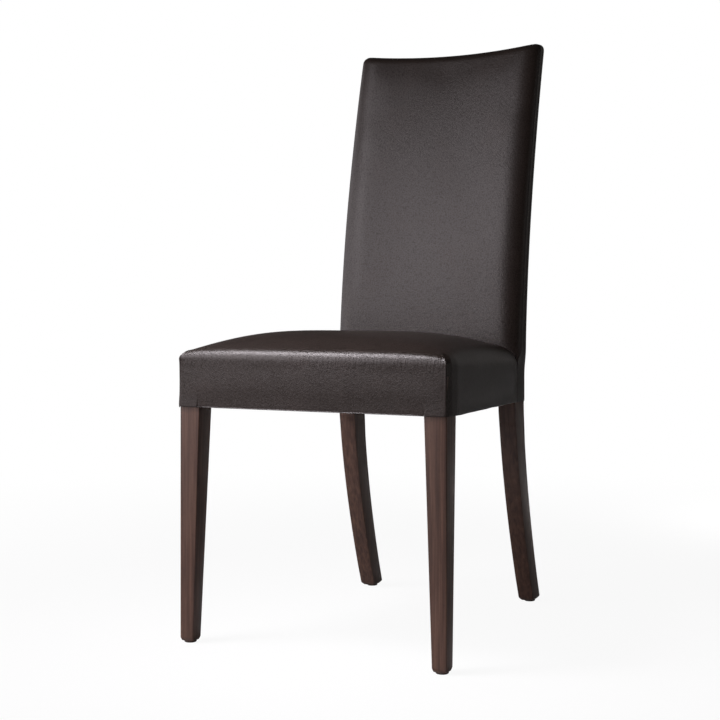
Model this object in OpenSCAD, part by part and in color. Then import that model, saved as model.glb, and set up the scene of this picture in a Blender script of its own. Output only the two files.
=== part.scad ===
// Fully upholstered dining chair: square tapered front legs, sabre-curved rear posts that run
// from the floor to the top of the back, a crowned seat with a straight skirt and a raked,
// dished back. The front faces -Y, left is -X, and the floor is Z = 0.

/* [Seat] */
// Width of the seat across the front, over the leather
seat_front_w = 450; // [420:1:480]
// Width of the seat at its rear edge, where it meets the back
seat_rear_w = 342; // [338:1:350]
// Depth of the seat, from the front of the skirt to the face of the back
seat_d = 421; // [390:1:450]
// Length of the straight stretch of skirt beside each front leg
square_len = 40; // [38:1:60]
// Height of the lower edge of the skirt at the front
skirt_z = 362; // [340:1:380]
// How much lower the skirt ends at the rear
skirt_drop = 8; // [0:1:15]
// Height of the seat's edge, on top of the skirt
seat_edge_z = 448; // [436:1:460]
// How far the middle of the seat swells above its edge
crown_h = 36; // [15:1:45]
// Radius of the roll along the seat's top edge
edge_roll = 12; // [8:1:16]
// Radius of the skirt's upright corners
skirt_corner = 6; // [4:0.5:6.5]
// Width of the leather turned under the rails
turn_under = 18; // [10:1:20]

/* [Back] */
// Height of the back's top corners above the floor
chair_h = 974; // [930:1:1020]
// Height at which the back starts to curve away from the seat
back_root_z = 440; // [436:1:446]
// Straight part of the back's lean, from its root to its top
lean_straight = 12.2; // [0:0.1:20]
// Curved part of the back's lean
lean_curved = 86.9; // [60:0.1:110]
// Power of the curve of the lean
lean_power = 1.64; // [1.4:0.01:2]
// Width of the back at the seat
back_low_w = 346.6; // [344:0.1:356]
// Width of the back at the top
back_top_w = 348.2; // [344:0.1:362]
// Width of the leather wrapped round the posts below the seat
wrap_w = 341.4; // [340:0.2:344]
// Thickness of the back at the seat
back_low_t = 48; // [46:1:56]
// Thickness of the back at the top
back_top_t = 42; // [40:1:50]
// Hollow of the back at the top, in plan
bow_top = 14; // [4:1:18]
// Hollow of the back at the seat, in plan
bow_low = 4; // [1:1:8]
// Dip of the top edge between its corners
top_dip = 9; // [2:1:14]
// Width of the soft rounding along the back's front edges
soft_w = 30; // [22:1:34]
// Depth of the soft rounding along the back's front edges
soft_d = 18; // [15:1:20]
// Radius of the back's rear edges
rear_r = 11; // [8:1:12]
// Radius of the roll along the top edge
top_roll = 13; // [10:1:14]

/* [Frame] */
// Side of a front leg at the skirt
leg_top = 34.7; // [32:0.1:38]
// Side of a front leg at the floor
leg_foot = 22.8; // [20:0.1:28]
// Width of a rear post at the skirt
post_w = 30.5; // [28:0.1:34]
// Width of a rear post at the floor
post_foot_w = 27; // [24:0.1:28]
// Depth of a rear post at the skirt
post_d = 41.4; // [40:0.1:44]
// Depth of a rear post at the floor
post_foot_d = 34.4; // [28:0.1:38]
// How far a rear post sweeps back on its way to the floor
post_sweep = 91; // [60:1:110]
// Power of the curve of that sweep
sweep_power = 1.56; // [1.3:0.01:2]
// Thickness of the seat rails
rail_t = 22; // [18:1:24]
// Thickness of the rails inside the back
back_rail_t = 18; // [15:1:20]
// Height of the crest rail and of the rail low in the back
back_rail_h = 50; // [40:1:60]
// Thickness of the bent plywood in the back
ply_t = 4; // [3:0.5:5]
// Thickness of a tenon
tenon_t = 10; // [8:0.5:11]
// Length of a tenon
tenon_len = 17; // [12:0.5:18]
// Length of a corner block along each rail
block_reach = 38; // [30:1:45]
// Height of a corner block
block_h = 30; // [20:1:36]
// Radius of the eased edge round the bottom of each foot
foot_ease = 2.5; // [1:0.5:4]

/* [Upholstery] */
// Thickness of the leather
leather_t = 1.4; // [1:0.1:1.6]
// Room between the leather and the wood behind it
pad_gap = 1.8; // [1.5:0.1:2.5]
// Depth of the padding in front of the posts
back_pad = 13; // [11:0.5:15]
// Width of a webbing strap
strap_w = 50; // [40:1:55]
// Thickness of a webbing strap
strap_t = 1.3; // [1:0.1:1.5]
// Straps from front to rear
long_straps = 3; // [3:2:3]
// Straps from side to side
cross_straps = 4; // [3:1:4]
// Thickness of the cloth under the seat
dust_t = 0.8; // [0.5:0.1:1]

/* [Hardware] */
// Diameter of a glide
glide_dia = 19; // [16:0.5:20]
// Height of a glide under the foot
glide_h = 3; // [2:0.5:5]
// Diameter of a glide's nail
nail_dia = 2.6; // [2:0.1:3]
// Length of a glide's nail
nail_len = 15; // [10:1:20]
// Diameter of a block screw's shank
screw_dia = 4; // [3.5:0.1:4.5]
// Diameter of a block screw's head
screw_head = 8; // [7:0.1:8.5]
// Length of a block screw's shank
screw_len = 26; // [20:1:27]
// Staples along each seat rail
staple_count = 5; // [3:1:6]

/* [Hidden] */

// Clearance between pieces that seat against each other
seat_fit = 0.2;
// Clearance round a nail or a screw in its hole
hole_fit = 0.1;
// Clearance round a tenon in its mortise
tenon_fit = 0.15;
// Room between foam and leather, and between the curved plywood and the rails behind it
foam_fit = 0.9;
ply_fit = 0.8;
// Room between the leather margins on the rear of the back and the panel over them
panel_fit = 0.35;
leather_colour = "#3b3331";
wood_colour = "#453229";
raw_wood_colour = "#c9a878";
foam_colour = "#e6dcc0";
cloth_colour = "#1d1c1c";
strap_colour = "#2a2a2c";
steel_colour = "#b9bcc0";
glide_colour = "#26221f";

// Fit between the seat and the back
seat_gap = 0.6;
back_y = seat_d + seat_gap;
// Outer faces of the wood behind the skirt
wood_inset = leather_t + pad_gap;
leg_x = seat_front_w / 2 - wood_inset;
leg_in_x = leg_x - leg_top;
leg_rear_y = wood_inset + leg_top;
post_x = wrap_w / 2 - wood_inset - 1;
post_in_x = post_x - post_w;
post_y = back_y + leather_t + 1.2;
// Seat rails, from their lower edge to their top
rail_top_z = seat_edge_z - 30;
rail_in_y = wood_inset + rail_t;
drop_angle = atan(skirt_drop / seat_d);
// Rear faces of the posts and of the rear rail behind them
rear_gap = 2 * leather_t + pad_gap;
rear_rail_y = post_y + post_d - rail_t;
// Top surfaces
foam_z = rail_top_z + 2 * strap_t + 0.5;
wood_top_z = chair_h - 12;
low_rail_z = back_root_z + 44;
// Height at which a post has drawn back behind the padding
post_ramp_z = low_rail_z - 30;
crest_z = wood_top_z - 4 - back_rail_h / 2;
// Reach of the plywood beyond the middles of the two back rails
ply_edge = 21;
// Step round a tenon above and below, and how much shorter the tenons into the rear posts are
tenon_shoulder = 8;
tenon_back = 3;
// Leather that the cover turns onto the rear of the back, and the panel over it
margin = 26;
// How far the panel's sides reach onto the rounded rear edges, and the height of its top edge
panel_reach = 2;
panel_top_z = chair_h - 14;
// Rearmost point of the chair: the middle of the panel's top edge
depth = front_y(panel_top_z - top_dip) + back_thick(panel_top_z - top_dip)
    + bow(panel_top_z - top_dip) + panel_fit;

function lerp(a, b, t) = a + (b - a) * t;
function clamp(v) = min(1, max(0, v));
function reversed(list) = [for (i = [len(list) - 1 : -1 : 0]) list[i]];
function mirrored(list) = [for (p = reversed(list)) [-p[0], p[1]]];

// Lower edge of the skirt, at a distance y from the front
function hem_z(y) = skirt_z - skirt_drop * y / seat_d;

// Half the seat's width at y
function seat_half(y) = let (t = clamp((y - square_len) / (seat_d - square_len)))
    lerp(seat_front_w, seat_rear_w, t) / 2;

// Fall of the seat's edge from front to rear, and the shape of its crown: how late it drops to the
// sides, how early it rises from the front, and how much of it has gone at the rear
seat_fall = 8.6;
side_power = 4.7;
front_power = 6.2;
rear_flatness = 0.56;

// Height of the seat's surface: steep near the edges, nearly flat over the middle
function crown_z(x, y) =
    let (u = min(1, abs(x) / seat_half(y)), v = clamp(y / seat_d))
    seat_edge_z - seat_fall * v
        + crown_h * (1 - pow(u, side_power)) * (1 - pow(1 - v, front_power)) * (1 - rear_flatness * v * v);

// Drop of a rolled edge of radius r, at a distance i inside its outline
function roll_drop(i, r) = i >= r ? 0 : r - sqrt(r * r - (r - i) * (r - i));

// Outer face of a side rail, and its inner face, at y
function side_out_x(y) = lerp(leg_x, post_x, (y - leg_rear_y) / (post_y - leg_rear_y));
function side_in_x(y) = side_out_x(y) - rail_t;

// The lean, width, thickness and hollow of the back at a height z
function up(z) = max(0, (z - back_root_z) / (chair_h - back_root_z));
function front_y(z) = back_y + lean_straight * up(z) + lean_curved * pow(up(z), lean_power);
function back_half(z) = z < back_root_z
    ? lerp(wrap_w, back_low_w, clamp((z - back_root_z + 40) / 40)) / 2
    : lerp(back_low_w, back_top_w, up(z)) / 2;
function back_thick(z) = lerp(back_low_t, back_top_t, up(z));
function bow(z) = lerp(bow_low, bow_top, up(z));
// How far the posts stand further out at z than at the seat, and their inner faces over a rail's ends
function post_shift(z) = (back_top_w - back_low_w) / 2 * min(1, up(z));
function post_in_at(z) = post_in_x + min(post_shift(z), post_shift(z - back_rail_h / 2),
    post_shift(z + back_rail_h / 2));
function bowed(x, z) = bow(z) * (1 - pow(min(1, abs(x) / back_half(z)), 2));
function lean_angle(z) = atan((front_y(z + 1) - front_y(z - 1)) / 2);
function top_z(x) = chair_h - top_dip * (1 - pow(min(1, abs(x) * 2 / back_top_w), 2));

// Side view of a rear post: its front and its rear edge at a height z
function post_front_y(z) = z < skirt_z
    ? post_y + post_sweep * pow((skirt_z - z) / skirt_z, sweep_power)
    : z < rail_top_z ? post_y
    : lerp(post_y, front_y(z) + back_pad, clamp((z - rail_top_z) / (post_ramp_z - rail_top_z)));
function post_rear_y(z) = z < skirt_z
    ? post_front_y(z) + lerp(post_d, post_foot_d, (skirt_z - z) / skirt_z)
    : lerp(post_y + post_d, front_y(z) + back_thick(z) - rear_gap,
        clamp((z - skirt_z) / (back_root_z - skirt_z)));

// Puts what is drawn from the front of the skirt at the chair's own origin
module placed() {
    translate([0, -depth / 2, 0])
        children();
}

module on_both_sides() {
    children();
    mirror([1, 0, 0])
        children();
}

// Triangles of one face of a grid of rows, outwards or inwards: its two halves mirror each other
function grid_faces(rows, cols, first, wrap, out) = [
    for (r = [0 : rows - 2])
        for (c = [0 : wrap ? cols - 1 : cols - 2])
            let (a = first + r * cols + c, b = first + r * cols + (c + 1) % cols,
                d = a + cols, e = b + cols, near = 2 * c < (wrap ? cols : cols - 2))
            for (f = near ? [[a, d, e], [a, e, b]] : [[a, d, b], [b, d, e]])
                out ? f : [f[0], f[2], f[1]]];

// A closed solid through a stack of rings, its top drawn together at tip
module loft(rings, tip) {
    rows = len(rings);
    cols = len(rings[0]);
    points = [for (ring = rings) for (p = ring) p];
    low = rows * cols;
    function mid(ring) = [for (k = [0 : 2]) (min([for (p = ring) p[k]]) + max([for (p = ring) p[k]])) / 2];
    polyhedron(concat(points, [mid(rings[0]), tip]), concat(
        grid_faces(rows, cols, 0, true, true),
        [for (c = [0 : cols - 1]) [c, (c + 1) % cols, low]],
        [for (c = [0 : cols - 1]) [low - cols + (c + 1) % cols, low - cols + c, low + 1]]));
}

// A bag: rings outside and inside, closed at the top, open at the bottom
module bag(outer, inner, outer_tip, inner_tip) {
    rows = len(outer);
    cols = len(outer[0]);
    n = rows * cols;
    points = concat([for (ring = outer) for (p = ring) p], [for (ring = inner) for (p = ring) p],
        [outer_tip, inner_tip]);
    polyhedron(points, concat(
        grid_faces(rows, cols, 0, true, true),
        grid_faces(rows, cols, n, true, false),
        [for (c = [0 : cols - 1]) let (d = (c + 1) % cols)
            for (f = 2 * c < cols ? [[c, d, n + d], [c, n + d, n + c]]
                : [[c, d, n + c], [d, n + d, n + c]]) f],
        [for (c = [0 : cols - 1]) [n - cols + (c + 1) % cols, n - cols + c, 2 * n]],
        [for (c = [0 : cols - 1]) [2 * n - cols + c, 2 * n - cols + (c + 1) % cols, 2 * n + 1]]));
}

// A curved sheet between an outer and an inner grid of points
module sheet(outer, inner) {
    rows = len(outer);
    cols = len(outer[0]);
    n = rows * cols;
    last = n - cols;
    points = concat([for (row = outer) for (p = row) p], [for (row = inner) for (p = row) p]);
    polyhedron(points, concat(
        grid_faces(rows, cols, 0, false, true),
        grid_faces(rows, cols, n, false, false),
        [for (c = [0 : cols - 2]) let (b = c + 1)
            for (f = 2 * c < cols - 2 ? [[c, b, n + b], [c, n + b, n + c]]
                : [[c, b, n + c], [b, n + b, n + c]]) f],
        [for (c = [0 : cols - 2]) let (a = last + c, b = a + 1)
            for (f = 2 * c < cols - 2 ? [[b, a, n + a], [b, n + a, n + b]]
                : [[b, a, n + b], [a, n + a, n + b]]) f],
        [for (r = [0 : rows - 2]) let (a = r * cols, d = a + cols)
            for (f = [[d, a, n + a], [d, n + a, n + d]]) f],
        [for (r = [0 : rows - 2]) let (b = (r + 1) * cols - 1, t = b + cols)
            for (f = [[b, t, n + b], [t, n + t, n + b]]) f]));
}

// A block whose faces are given by its front view and its side view
module two_views(front, side) {
    reach = 400;
    intersection() {
        translate([0, depth + reach, 0])
            rotate([90, 0, 0])
                linear_extrude(depth + 2 * reach)
                    polygon(front);
        translate([-reach, 0, 0])
            rotate([90, 0, 90])
                linear_extrude(2 * reach)
                    polygon(side);
    }
}

// Nail hole in the middle of a foot
module nail_hole(x, y) {
    translate([x, y, glide_h - 1])
        cylinder(d = nail_dia + 2 * hole_fit, h = nail_len + 2, $fn = 24);
}

module glide(x, y) {
    color(glide_colour)
        translate([x, y, 0]) {
            rotate_extrude($fn = 48)
                polygon([[0, 0], [glide_dia / 2 - 1, 0], [glide_dia / 2, 1],
                    [glide_dia / 2, glide_h], [0, glide_h]]);
            translate([0, 0, glide_h - 0.5])
                cylinder(d = nail_dia, h = nail_len + 0.5, $fn = 24);
        }
}

// Middle of a front foot and of a rear foot
front_foot = [leg_x - leg_foot / 2, wood_inset + leg_foot / 2];
rear_foot = [post_x - post_foot_w / 2, post_front_y(0) + post_foot_d / 2];

// Tenons at the ends of the seat rails, with room round them where they are cut out
module front_tenon(room) {
    translate([leg_in_x - 1, wood_inset + (rail_t - tenon_t) / 2 - room, skirt_z + 14 - room])
        cube([tenon_len + 1 + room, tenon_t + 2 * room, rail_top_z - skirt_z - 26 + 2 * room]);
}

module side_front_tenon(room) {
    translate([leg_x - (rail_t + tenon_t) / 2 - room, leg_rear_y - tenon_len - room, skirt_z + 14 - room])
        cube([tenon_t + 2 * room, tenon_len + 1 + room, rail_top_z - skirt_z - 26 + 2 * room]);
}

module side_rear_tenon(room) {
    translate([post_x - (rail_t + tenon_t) / 2 - room, post_y - 1, skirt_z + 8 - room])
        cube([tenon_t + 2 * room, tenon_len + 1 + room, rail_top_z - skirt_z - 20 + 2 * room]);
}

module rear_tenon(room) {
    translate([post_in_x - 1, rear_rail_y + (rail_t - tenon_t) / 2 - room, skirt_z + 8 - room])
        cube([tenon_len - tenon_back + room, tenon_t + 2 * room, rail_top_z - skirt_z - 20 + 2 * room]);
}

// Lays out children in the leaning plane of the back, at a height z
module in_lean(z) {
    translate([0, front_y(z) + back_pad + ply_t + ply_fit, z])
        rotate([-lean_angle(z), 0, 0])
            children();
}

// Lower end of a back rail's tenon above the rail's middle
function room_less(room) = tenon_shoulder - back_rail_h / 2 - room;

module back_tenon(z, room) {
    in_lean(z)
        translate([post_in_at(z) - 1, (back_rail_t - tenon_t) / 2 - room, room_less(room)])
            cube([tenon_len - tenon_back + room, tenon_t + 2 * room,
                back_rail_h - 2 * tenon_shoulder + 2 * room]);
}

// Front leg, on the right: its outer faces are upright and its inner faces taper
module front_leg() {
    ease = foot_ease;
    color(wood_colour)
        difference() {
            two_views(
                [[leg_x - leg_foot + ease, glide_h], [leg_x - ease, glide_h], [leg_x, glide_h + ease],
                    [leg_x, rail_top_z], [leg_in_x, rail_top_z], [leg_in_x, skirt_z - 4],
                    [leg_x - leg_foot, glide_h + ease]],
                [[wood_inset + ease, glide_h], [wood_inset + leg_foot - ease, glide_h],
                    [wood_inset + leg_foot, glide_h + ease], [leg_rear_y, skirt_z - 4],
                    [leg_rear_y, rail_top_z], [wood_inset, rail_top_z], [wood_inset, glide_h + ease]]);
            nail_hole(front_foot[0], front_foot[1]);
            front_tenon(tenon_fit);
            side_front_tenon(tenon_fit);
        }
}

// Rear post, on the right: one piece from the floor to the top of the back, rebated inside the
// leather to clear its rounded rear edge
module rear_post() {
    ease = foot_ease;
    low = [for (i = [0 : 11]) glide_h + ease + (skirt_z - glide_h - ease) * pow(i / 12, 0.9)];
    high = concat([skirt_z, rail_top_z, back_root_z],
        [for (i = [0 : 11]) lerp(post_ramp_z, wood_top_z, i / 11)]);
    heights = concat(low, high);
    top = wood_top_z - 2;
    rebate = 4.6;
    lean_out = post_shift(top);
    color(wood_colour)
        difference() {
            two_views(
                [[post_x - post_foot_w + ease, glide_h], [post_x - ease, glide_h],
                    [post_x, glide_h + ease], [post_x, back_root_z], [post_x + lean_out, top - 4],
                    [post_x + lean_out - 4, top], [post_in_x + lean_out, top - 1],
                    [post_in_x, back_root_z], [post_in_x, skirt_z],
                    [post_x - post_foot_w, glide_h + ease]],
                concat(
                    [[post_front_y(glide_h) + ease, glide_h], [post_rear_y(glide_h) - ease, glide_h]],
                    [for (z = heights) [post_rear_y(z), z]],
                    [for (z = reversed(heights)) [post_front_y(z), z]]));
            translate([post_x + min(0, lean_out) - rebate, 0, 0])
                rotate([90, 0, 90])
                    linear_extrude(2 * rebate + abs(lean_out))
                        polygon(concat([[post_rear_y(hem_z(back_y)) - rebate, hem_z(back_y)]],
                            [for (z = high) [post_rear_y(z) - rebate, z]],
                            [[depth, wood_top_z], [depth, hem_z(back_y)]]));
            nail_hole(rear_foot[0], rear_foot[1]);
            side_rear_tenon(tenon_fit);
            rear_tenon(tenon_fit);
            back_tenon(low_rail_z, tenon_fit);
            back_tenon(crest_z, tenon_fit);
        }
}

module front_left_leg() {
    placed() mirror([1, 0, 0]) front_leg();
}

module front_right_leg() {
    placed() front_leg();
}

module rear_left_post() {
    placed() mirror([1, 0, 0]) rear_post();
}

module rear_right_post() {
    placed() rear_post();
}

// Two legs of one staple, and the crown that joins them, in the plane under the seat
module staple(room) {
    wire = 0.8;
    for (x = [-5, 5 - wire])
        translate([x - room, -wire / 2 - room, -dust_t - 0.3])
            cube([wire + 2 * room, wire + 2 * room, 6 + room]);
    translate([-5, -wire / 2, -dust_t - 0.8])
        cube([10, wire, 0.7]);
}

// Every staple of the cloth under the seat, just inside the turned-under leather
module staples(room) {
    in = turn_under + 3;
    step = 1 / (staple_count + 1);
    translate([0, 0, skirt_z])
        rotate([-drop_angle, 0, 0])
            for (i = [1 : staple_count]) {
                y = lerp(leg_rear_y + 8, post_y - 8, i * step);
                translate([lerp(-leg_in_x, leg_in_x, i * step), in, 0])
                    staple(room);
                translate([lerp(-post_in_x, post_in_x, i * step), rear_rail_y + rail_t / 2, 0])
                    staple(room);
                on_both_sides()
                    translate([seat_half(y) - in, y, 0])
                        rotate([0, 0, 90])
                            staple(room);
            }
}

// Shank and head of a block screw, from its head at the origin along +Z
module screw(room) {
    translate([0, 0, -3])
        cylinder(d = screw_head + 6 * room, h = 3, $fn = 32);
    translate([0, 0, -0.5])
        cylinder(d = screw_dia + 2 * room, h = screw_len + 0.5 + room, $fn = 32);
    if (room > 0)
        translate([0, 0, -30])
            cylinder(d = screw_head + 6 * room, h = 30, $fn = 32);
}

// Where the screws of a front block and of a rear block start, and how far their heads are from
// the rails
screw_in = 14;
front_screw_x = leg_in_x - block_reach + 11;
front_screw_y = leg_rear_y + block_reach - 12;
rear_screw_x = post_in_x - block_reach + 13;
rear_screw_y = post_y - block_reach + screw_in;
block_z = rail_top_z - 6 - block_h / 2;

module right_screws(room) {
    translate([front_screw_x, rail_in_y + screw_in, block_z])
        rotate([90, 0, 0])
            screw(room);
    translate([side_in_x(front_screw_y) - screw_in, front_screw_y, block_z])
        rotate([0, 90, 0])
            screw(room);
    translate([rear_screw_x, rear_rail_y - screw_in, block_z])
        rotate([-90, 0, 0])
            screw(room);
    translate([side_in_x(rear_screw_y) - screw_in, rear_screw_y, block_z])
        rotate([0, 90, 0])
            screw(room);
}

module block_screws() {
    color(steel_colour)
        placed() on_both_sides() right_screws(0);
}

module front_seat_rail() {
    color(raw_wood_colour)
        placed()
            difference() {
                union() {
                    translate([-leg_in_x + seat_fit / 2, wood_inset, skirt_z + leather_t + seat_fit])
                        cube([2 * leg_in_x - seat_fit, rail_t, rail_top_z - skirt_z - leather_t - seat_fit]);
                    on_both_sides() front_tenon(0);
                }
                on_both_sides() right_screws(hole_fit);
                staples(hole_fit);
            }
}

// Side rail, on the right: it runs in towards the rear and its lower edge drops with the hem
module side_rail() {
    front = leg_rear_y + seat_fit / 2;
    rear = post_y - seat_fit / 2;
    color(raw_wood_colour)
        difference() {
            union() {
                intersection() {
                    translate([0, 0, skirt_z - 40])
                        linear_extrude(rail_top_z - skirt_z + 40)
                            polygon([[side_out_x(front), front], [side_out_x(rear), rear],
                                [side_in_x(rear), rear], [side_in_x(front), front]]);
                    rotate([90, 0, 90])
                        linear_extrude(seat_front_w)
                            polygon([[0, hem_z(0) + leather_t + seat_fit], [0, rail_top_z + 10],
                                [depth, rail_top_z + 10], [depth, hem_z(depth) + leather_t + seat_fit]]);
                }
                side_front_tenon(0);
                side_rear_tenon(0);
            }
            right_screws(hole_fit);
            staples(hole_fit);
        }
}

module left_seat_rail() {
    placed() mirror([1, 0, 0]) side_rail();
}

module right_seat_rail() {
    placed() side_rail();
}

module rear_seat_rail() {
    low = hem_z(rear_rail_y) + leather_t + seat_fit;
    color(raw_wood_colour)
        placed()
            difference() {
                union() {
                    translate([-post_in_x + seat_fit / 2, rear_rail_y, low])
                        cube([2 * post_in_x - seat_fit, rail_t, rail_top_z - low]);
                    on_both_sides() rear_tenon(0);
                }
                on_both_sides() right_screws(hole_fit);
                staples(hole_fit);
            }
}

// A rail inside the back, hollowed in plan like the back, its top edge dipped by dip
module back_rail(z, dip) {
    half = post_in_at(z) - seat_fit / 2;
    hollow = bowed(0, z) - bowed(half, z);
    xs = [for (i = [-6 : 6]) half * i / 6];
    function arc_y(x) = hollow * (1 - pow(x / half, 2));
    color(raw_wood_colour)
        placed() {
            in_lean(z)
                intersection() {
                    translate([0, 0, -back_rail_h])
                        linear_extrude(2 * back_rail_h)
                            polygon(concat([for (x = xs) [x, arc_y(x)]],
                                [for (x = reversed(xs)) [x, arc_y(x) + back_rail_t]]));
                    translate([0, 2 * back_rail_h, 0])
                        rotate([90, 0, 0])
                            linear_extrude(4 * back_rail_h)
                                polygon(concat([[half, -back_rail_h / 2], [half, back_rail_h / 2]],
                                    [for (x = reversed(xs))
                                        [x, back_rail_h / 2 - dip * (1 - pow(x / half, 2))]],
                                    [[-half, -back_rail_h / 2]]));
                }
            on_both_sides() back_tenon(z, 0);
        }
}

module crest_rail() {
    back_rail(crest_z, top_dip * 0.6);
}

module low_back_rail() {
    back_rail(low_rail_z, 0);
}

// Block behind a front leg, on the right, notched round the leg's inner corner
module front_block() {
    g = seat_fit;
    end_y = leg_rear_y + block_reach;
    start_x = leg_in_x - block_reach;
    color(raw_wood_colour)
        difference() {
            translate([0, 0, block_z - block_h / 2])
                linear_extrude(block_h)
                    polygon([[start_x, rail_in_y + g], [leg_in_x - 2, rail_in_y + g],
                        [leg_in_x - 2, leg_rear_y + 2], [side_in_x(leg_rear_y + 2) - g, leg_rear_y + 2],
                        [side_in_x(end_y) - g, end_y], [start_x, rail_in_y + 12]]);
            right_screws(hole_fit);
        }
}

// Block in front of a rear post, on the right
module rear_block() {
    g = seat_fit;
    start_y = post_y - block_reach;
    end_x = post_in_x - block_reach;
    color(raw_wood_colour)
        difference() {
            translate([0, 0, block_z - block_h / 2])
                linear_extrude(block_h)
                    polygon([[end_x, rear_rail_y - g], [end_x, rear_rail_y - screw_in],
                        [side_in_x(start_y) - g, start_y], [side_in_x(post_y - 2) - g, post_y - 2],
                        [post_in_x - 2, post_y - 2], [post_in_x - 2, rear_rail_y - g]]);
            right_screws(hole_fit);
        }
}

module front_left_block() {
    placed() mirror([1, 0, 0]) front_block();
}

module front_right_block() {
    placed() front_block();
}

module rear_left_block() {
    placed() mirror([1, 0, 0]) rear_block();
}

module rear_right_block() {
    placed() rear_block();
}

// Side view of a strap that goes over and under the straps at the places in crossings
function strap_line(start, end, crossings, phase) =
    let (half = strap_w / 2 + 2, lift = strap_t + 0.1)
    concat([[start, 0]],
        [for (i = [0 : len(crossings) - 1]) let (h = (i + phase) % 2 == 0 ? lift : 0)
            for (s = [-half, half]) [crossings[i] + s, h]],
        [[end, 0]]);

module strap(start, end, crossings, phase) {
    line = strap_line(start, end, crossings, phase);
    rotate([90, 0, 0])
        linear_extrude(strap_w, center = true)
            polygon(concat(line, [for (p = reversed(line)) [p[0], p[1] + strap_t]]));
}

module seat_webbing() {
    inner = post_in_x * 2 - strap_w - 16;
    first = rail_in_y + strap_w - 3;
    gap_x = inner / (long_straps - 1);
    gap_y = (rear_rail_y - strap_w - first) / (cross_straps - 1);
    xs = [for (i = [0 : long_straps - 1]) -inner / 2 + i * gap_x];
    ys = [for (i = [0 : cross_straps - 1]) first + i * gap_y];
    color(strap_colour)
        placed()
            translate([0, 0, rail_top_z + 0.1]) {
                for (i = [0 : long_straps - 1])
                    translate([xs[i], 0, 0])
                        rotate([0, 0, 90])
                            strap(wood_inset + 6, rear_rail_y + rail_t - 6, ys, i);
                for (i = [0 : cross_straps - 1])
                    let (half = side_out_x(ys[i] + strap_w / 2) - 3)
                        translate([0, ys[i], 0])
                            strap(-half, half, xs, i + 1);
            }
}

// Radius of the seat's rear corners, and how far the leather reaches behind the front legs' faces
rear_corner = 2.5;
leg_tuck = 1.9;
// Height and inset of the lowest bend of the skirt
hem_rise = 2.5;
hem_inset = 1.2;

// Right half of the seat's outline in plan, from the middle of the front to the middle of the
// rear, at a distance i inside the leather
function seat_half_outline(i) =
    let (r = max(1, skirt_corner - i), w = seat_front_w / 2 - i, end = seat_d - i,
        rw = seat_half(seat_d) - i, rear = rear_corner)
    concat(
        [for (s = [0, 0.33, 0.66]) [s * leg_in_x, i]],
        [[leg_in_x - 5, i], [leg_in_x - 0.6, i]],
        [for (a = [-90, -45, 0]) [w - r + r * cos(a), i + r + r * sin(a)]],
        [[w, leg_rear_y + 0.5]],
        [for (t = [0.015, 0.25, 0.5, 0.75, 0.93])
            let (y = lerp(leg_rear_y + 2, end, t)) [seat_half(y) - i, y]],
        [for (a = [0, 45, 90]) [rw - rear + rear * cos(a), end - rear + rear * sin(a)]],
        [for (x = [0.66, 0.33, 0]) [x * (rw - rear), end]]);

// The whole outline, without the middle points twice
function seat_outline(i) =
    let (half = seat_half_outline(i), n = len(half))
    concat([for (k = [0 : n - 1]) half[k]],
        [for (k = [n - 2 : -1 : 1]) [-half[k][0], half[k][1]]]);

// How far the leather is turned under at each point of the half outline
under_half = concat([for (k = [0 : 3]) turn_under], [for (k = [0 : 4]) leg_tuck],
    [for (k = [0 : 3]) turn_under], [for (k = [0 : 6]) leather_t + 0.1]);
// Lower edge at each point of the ring: the hem, and higher along the rear, behind the foam
seat_points = len(under_half);
function seat_index(k) = k < seat_points ? k : 2 * seat_points - 2 - k;
function seat_low_z(k, p) = seat_index(k) > seat_points - 6 ? foam_z + 2 : hem_z(p[1]);
function roll_start_z(p) = crown_z(p[0], p[1]) - edge_roll;

// Rings of the seat's skin at a depth i below the leather's face
function seat_rings(i, skirt) =
    let (full = seat_outline(i), bottom = seat_outline(0), n = len(full),
        mid_y = seat_d / 2,
        insets = [for (a = [0, 30, 55, 78]) edge_roll * (1 - cos(a))],
        scales = [0.88, 0.74, 0.55, 0.32, 0.14])
    concat(
        skirt ? [
            [for (k = [0 : n - 1]) let (q = seat_outline(under_half[seat_index(k)])[k])
                [q[0], q[1], seat_low_z(k, q) + i]],
            [for (k = [0 : n - 1]) let (q = seat_outline(hem_inset)[k])
                [q[0], q[1], seat_low_z(k, q) + i]],
            [for (k = [0 : n - 1]) let (z = seat_low_z(k, bottom[k]))
                [full[k][0], full[k][1], z + min(hem_rise, 0.4 * (roll_start_z(bottom[k]) - z))]],
            [for (k = [0 : n - 1]) [full[k][0], full[k][1],
                lerp(seat_low_z(k, bottom[k]), roll_start_z(bottom[k]), 0.6)]]]
            : [],
        [for (d = insets) let (ring = seat_outline(i + d), top = seat_outline(d))
            [for (k = [0 : n - 1]) [ring[k][0], ring[k][1],
                crown_z(top[k][0], top[k][1]) - roll_drop(d, edge_roll) - i]]],
        [for (s = scales)
            [for (k = [0 : n - 1]) let (x = full[k][0] * s, y = mid_y + (full[k][1] - mid_y) * s)
                [x, y, crown_z(x, y) - i]]]);

module seat_cover() {
    color(leather_colour)
        placed()
            bag(seat_rings(0, true), seat_rings(leather_t, true),
                [0, seat_d / 2, crown_z(0, seat_d / 2)],
                [0, seat_d / 2, crown_z(0, seat_d / 2) - leather_t]);
}

module seat_foam() {
    i = leather_t + foam_fit / 2;
    base = seat_outline(i);
    color(foam_colour)
        placed()
            loft(concat([[for (p = base) [p[0], p[1], foam_z]]], seat_rings(i, false)),
                [0, seat_d / 2, crown_z(0, seat_d / 2) - i]);
}

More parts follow.
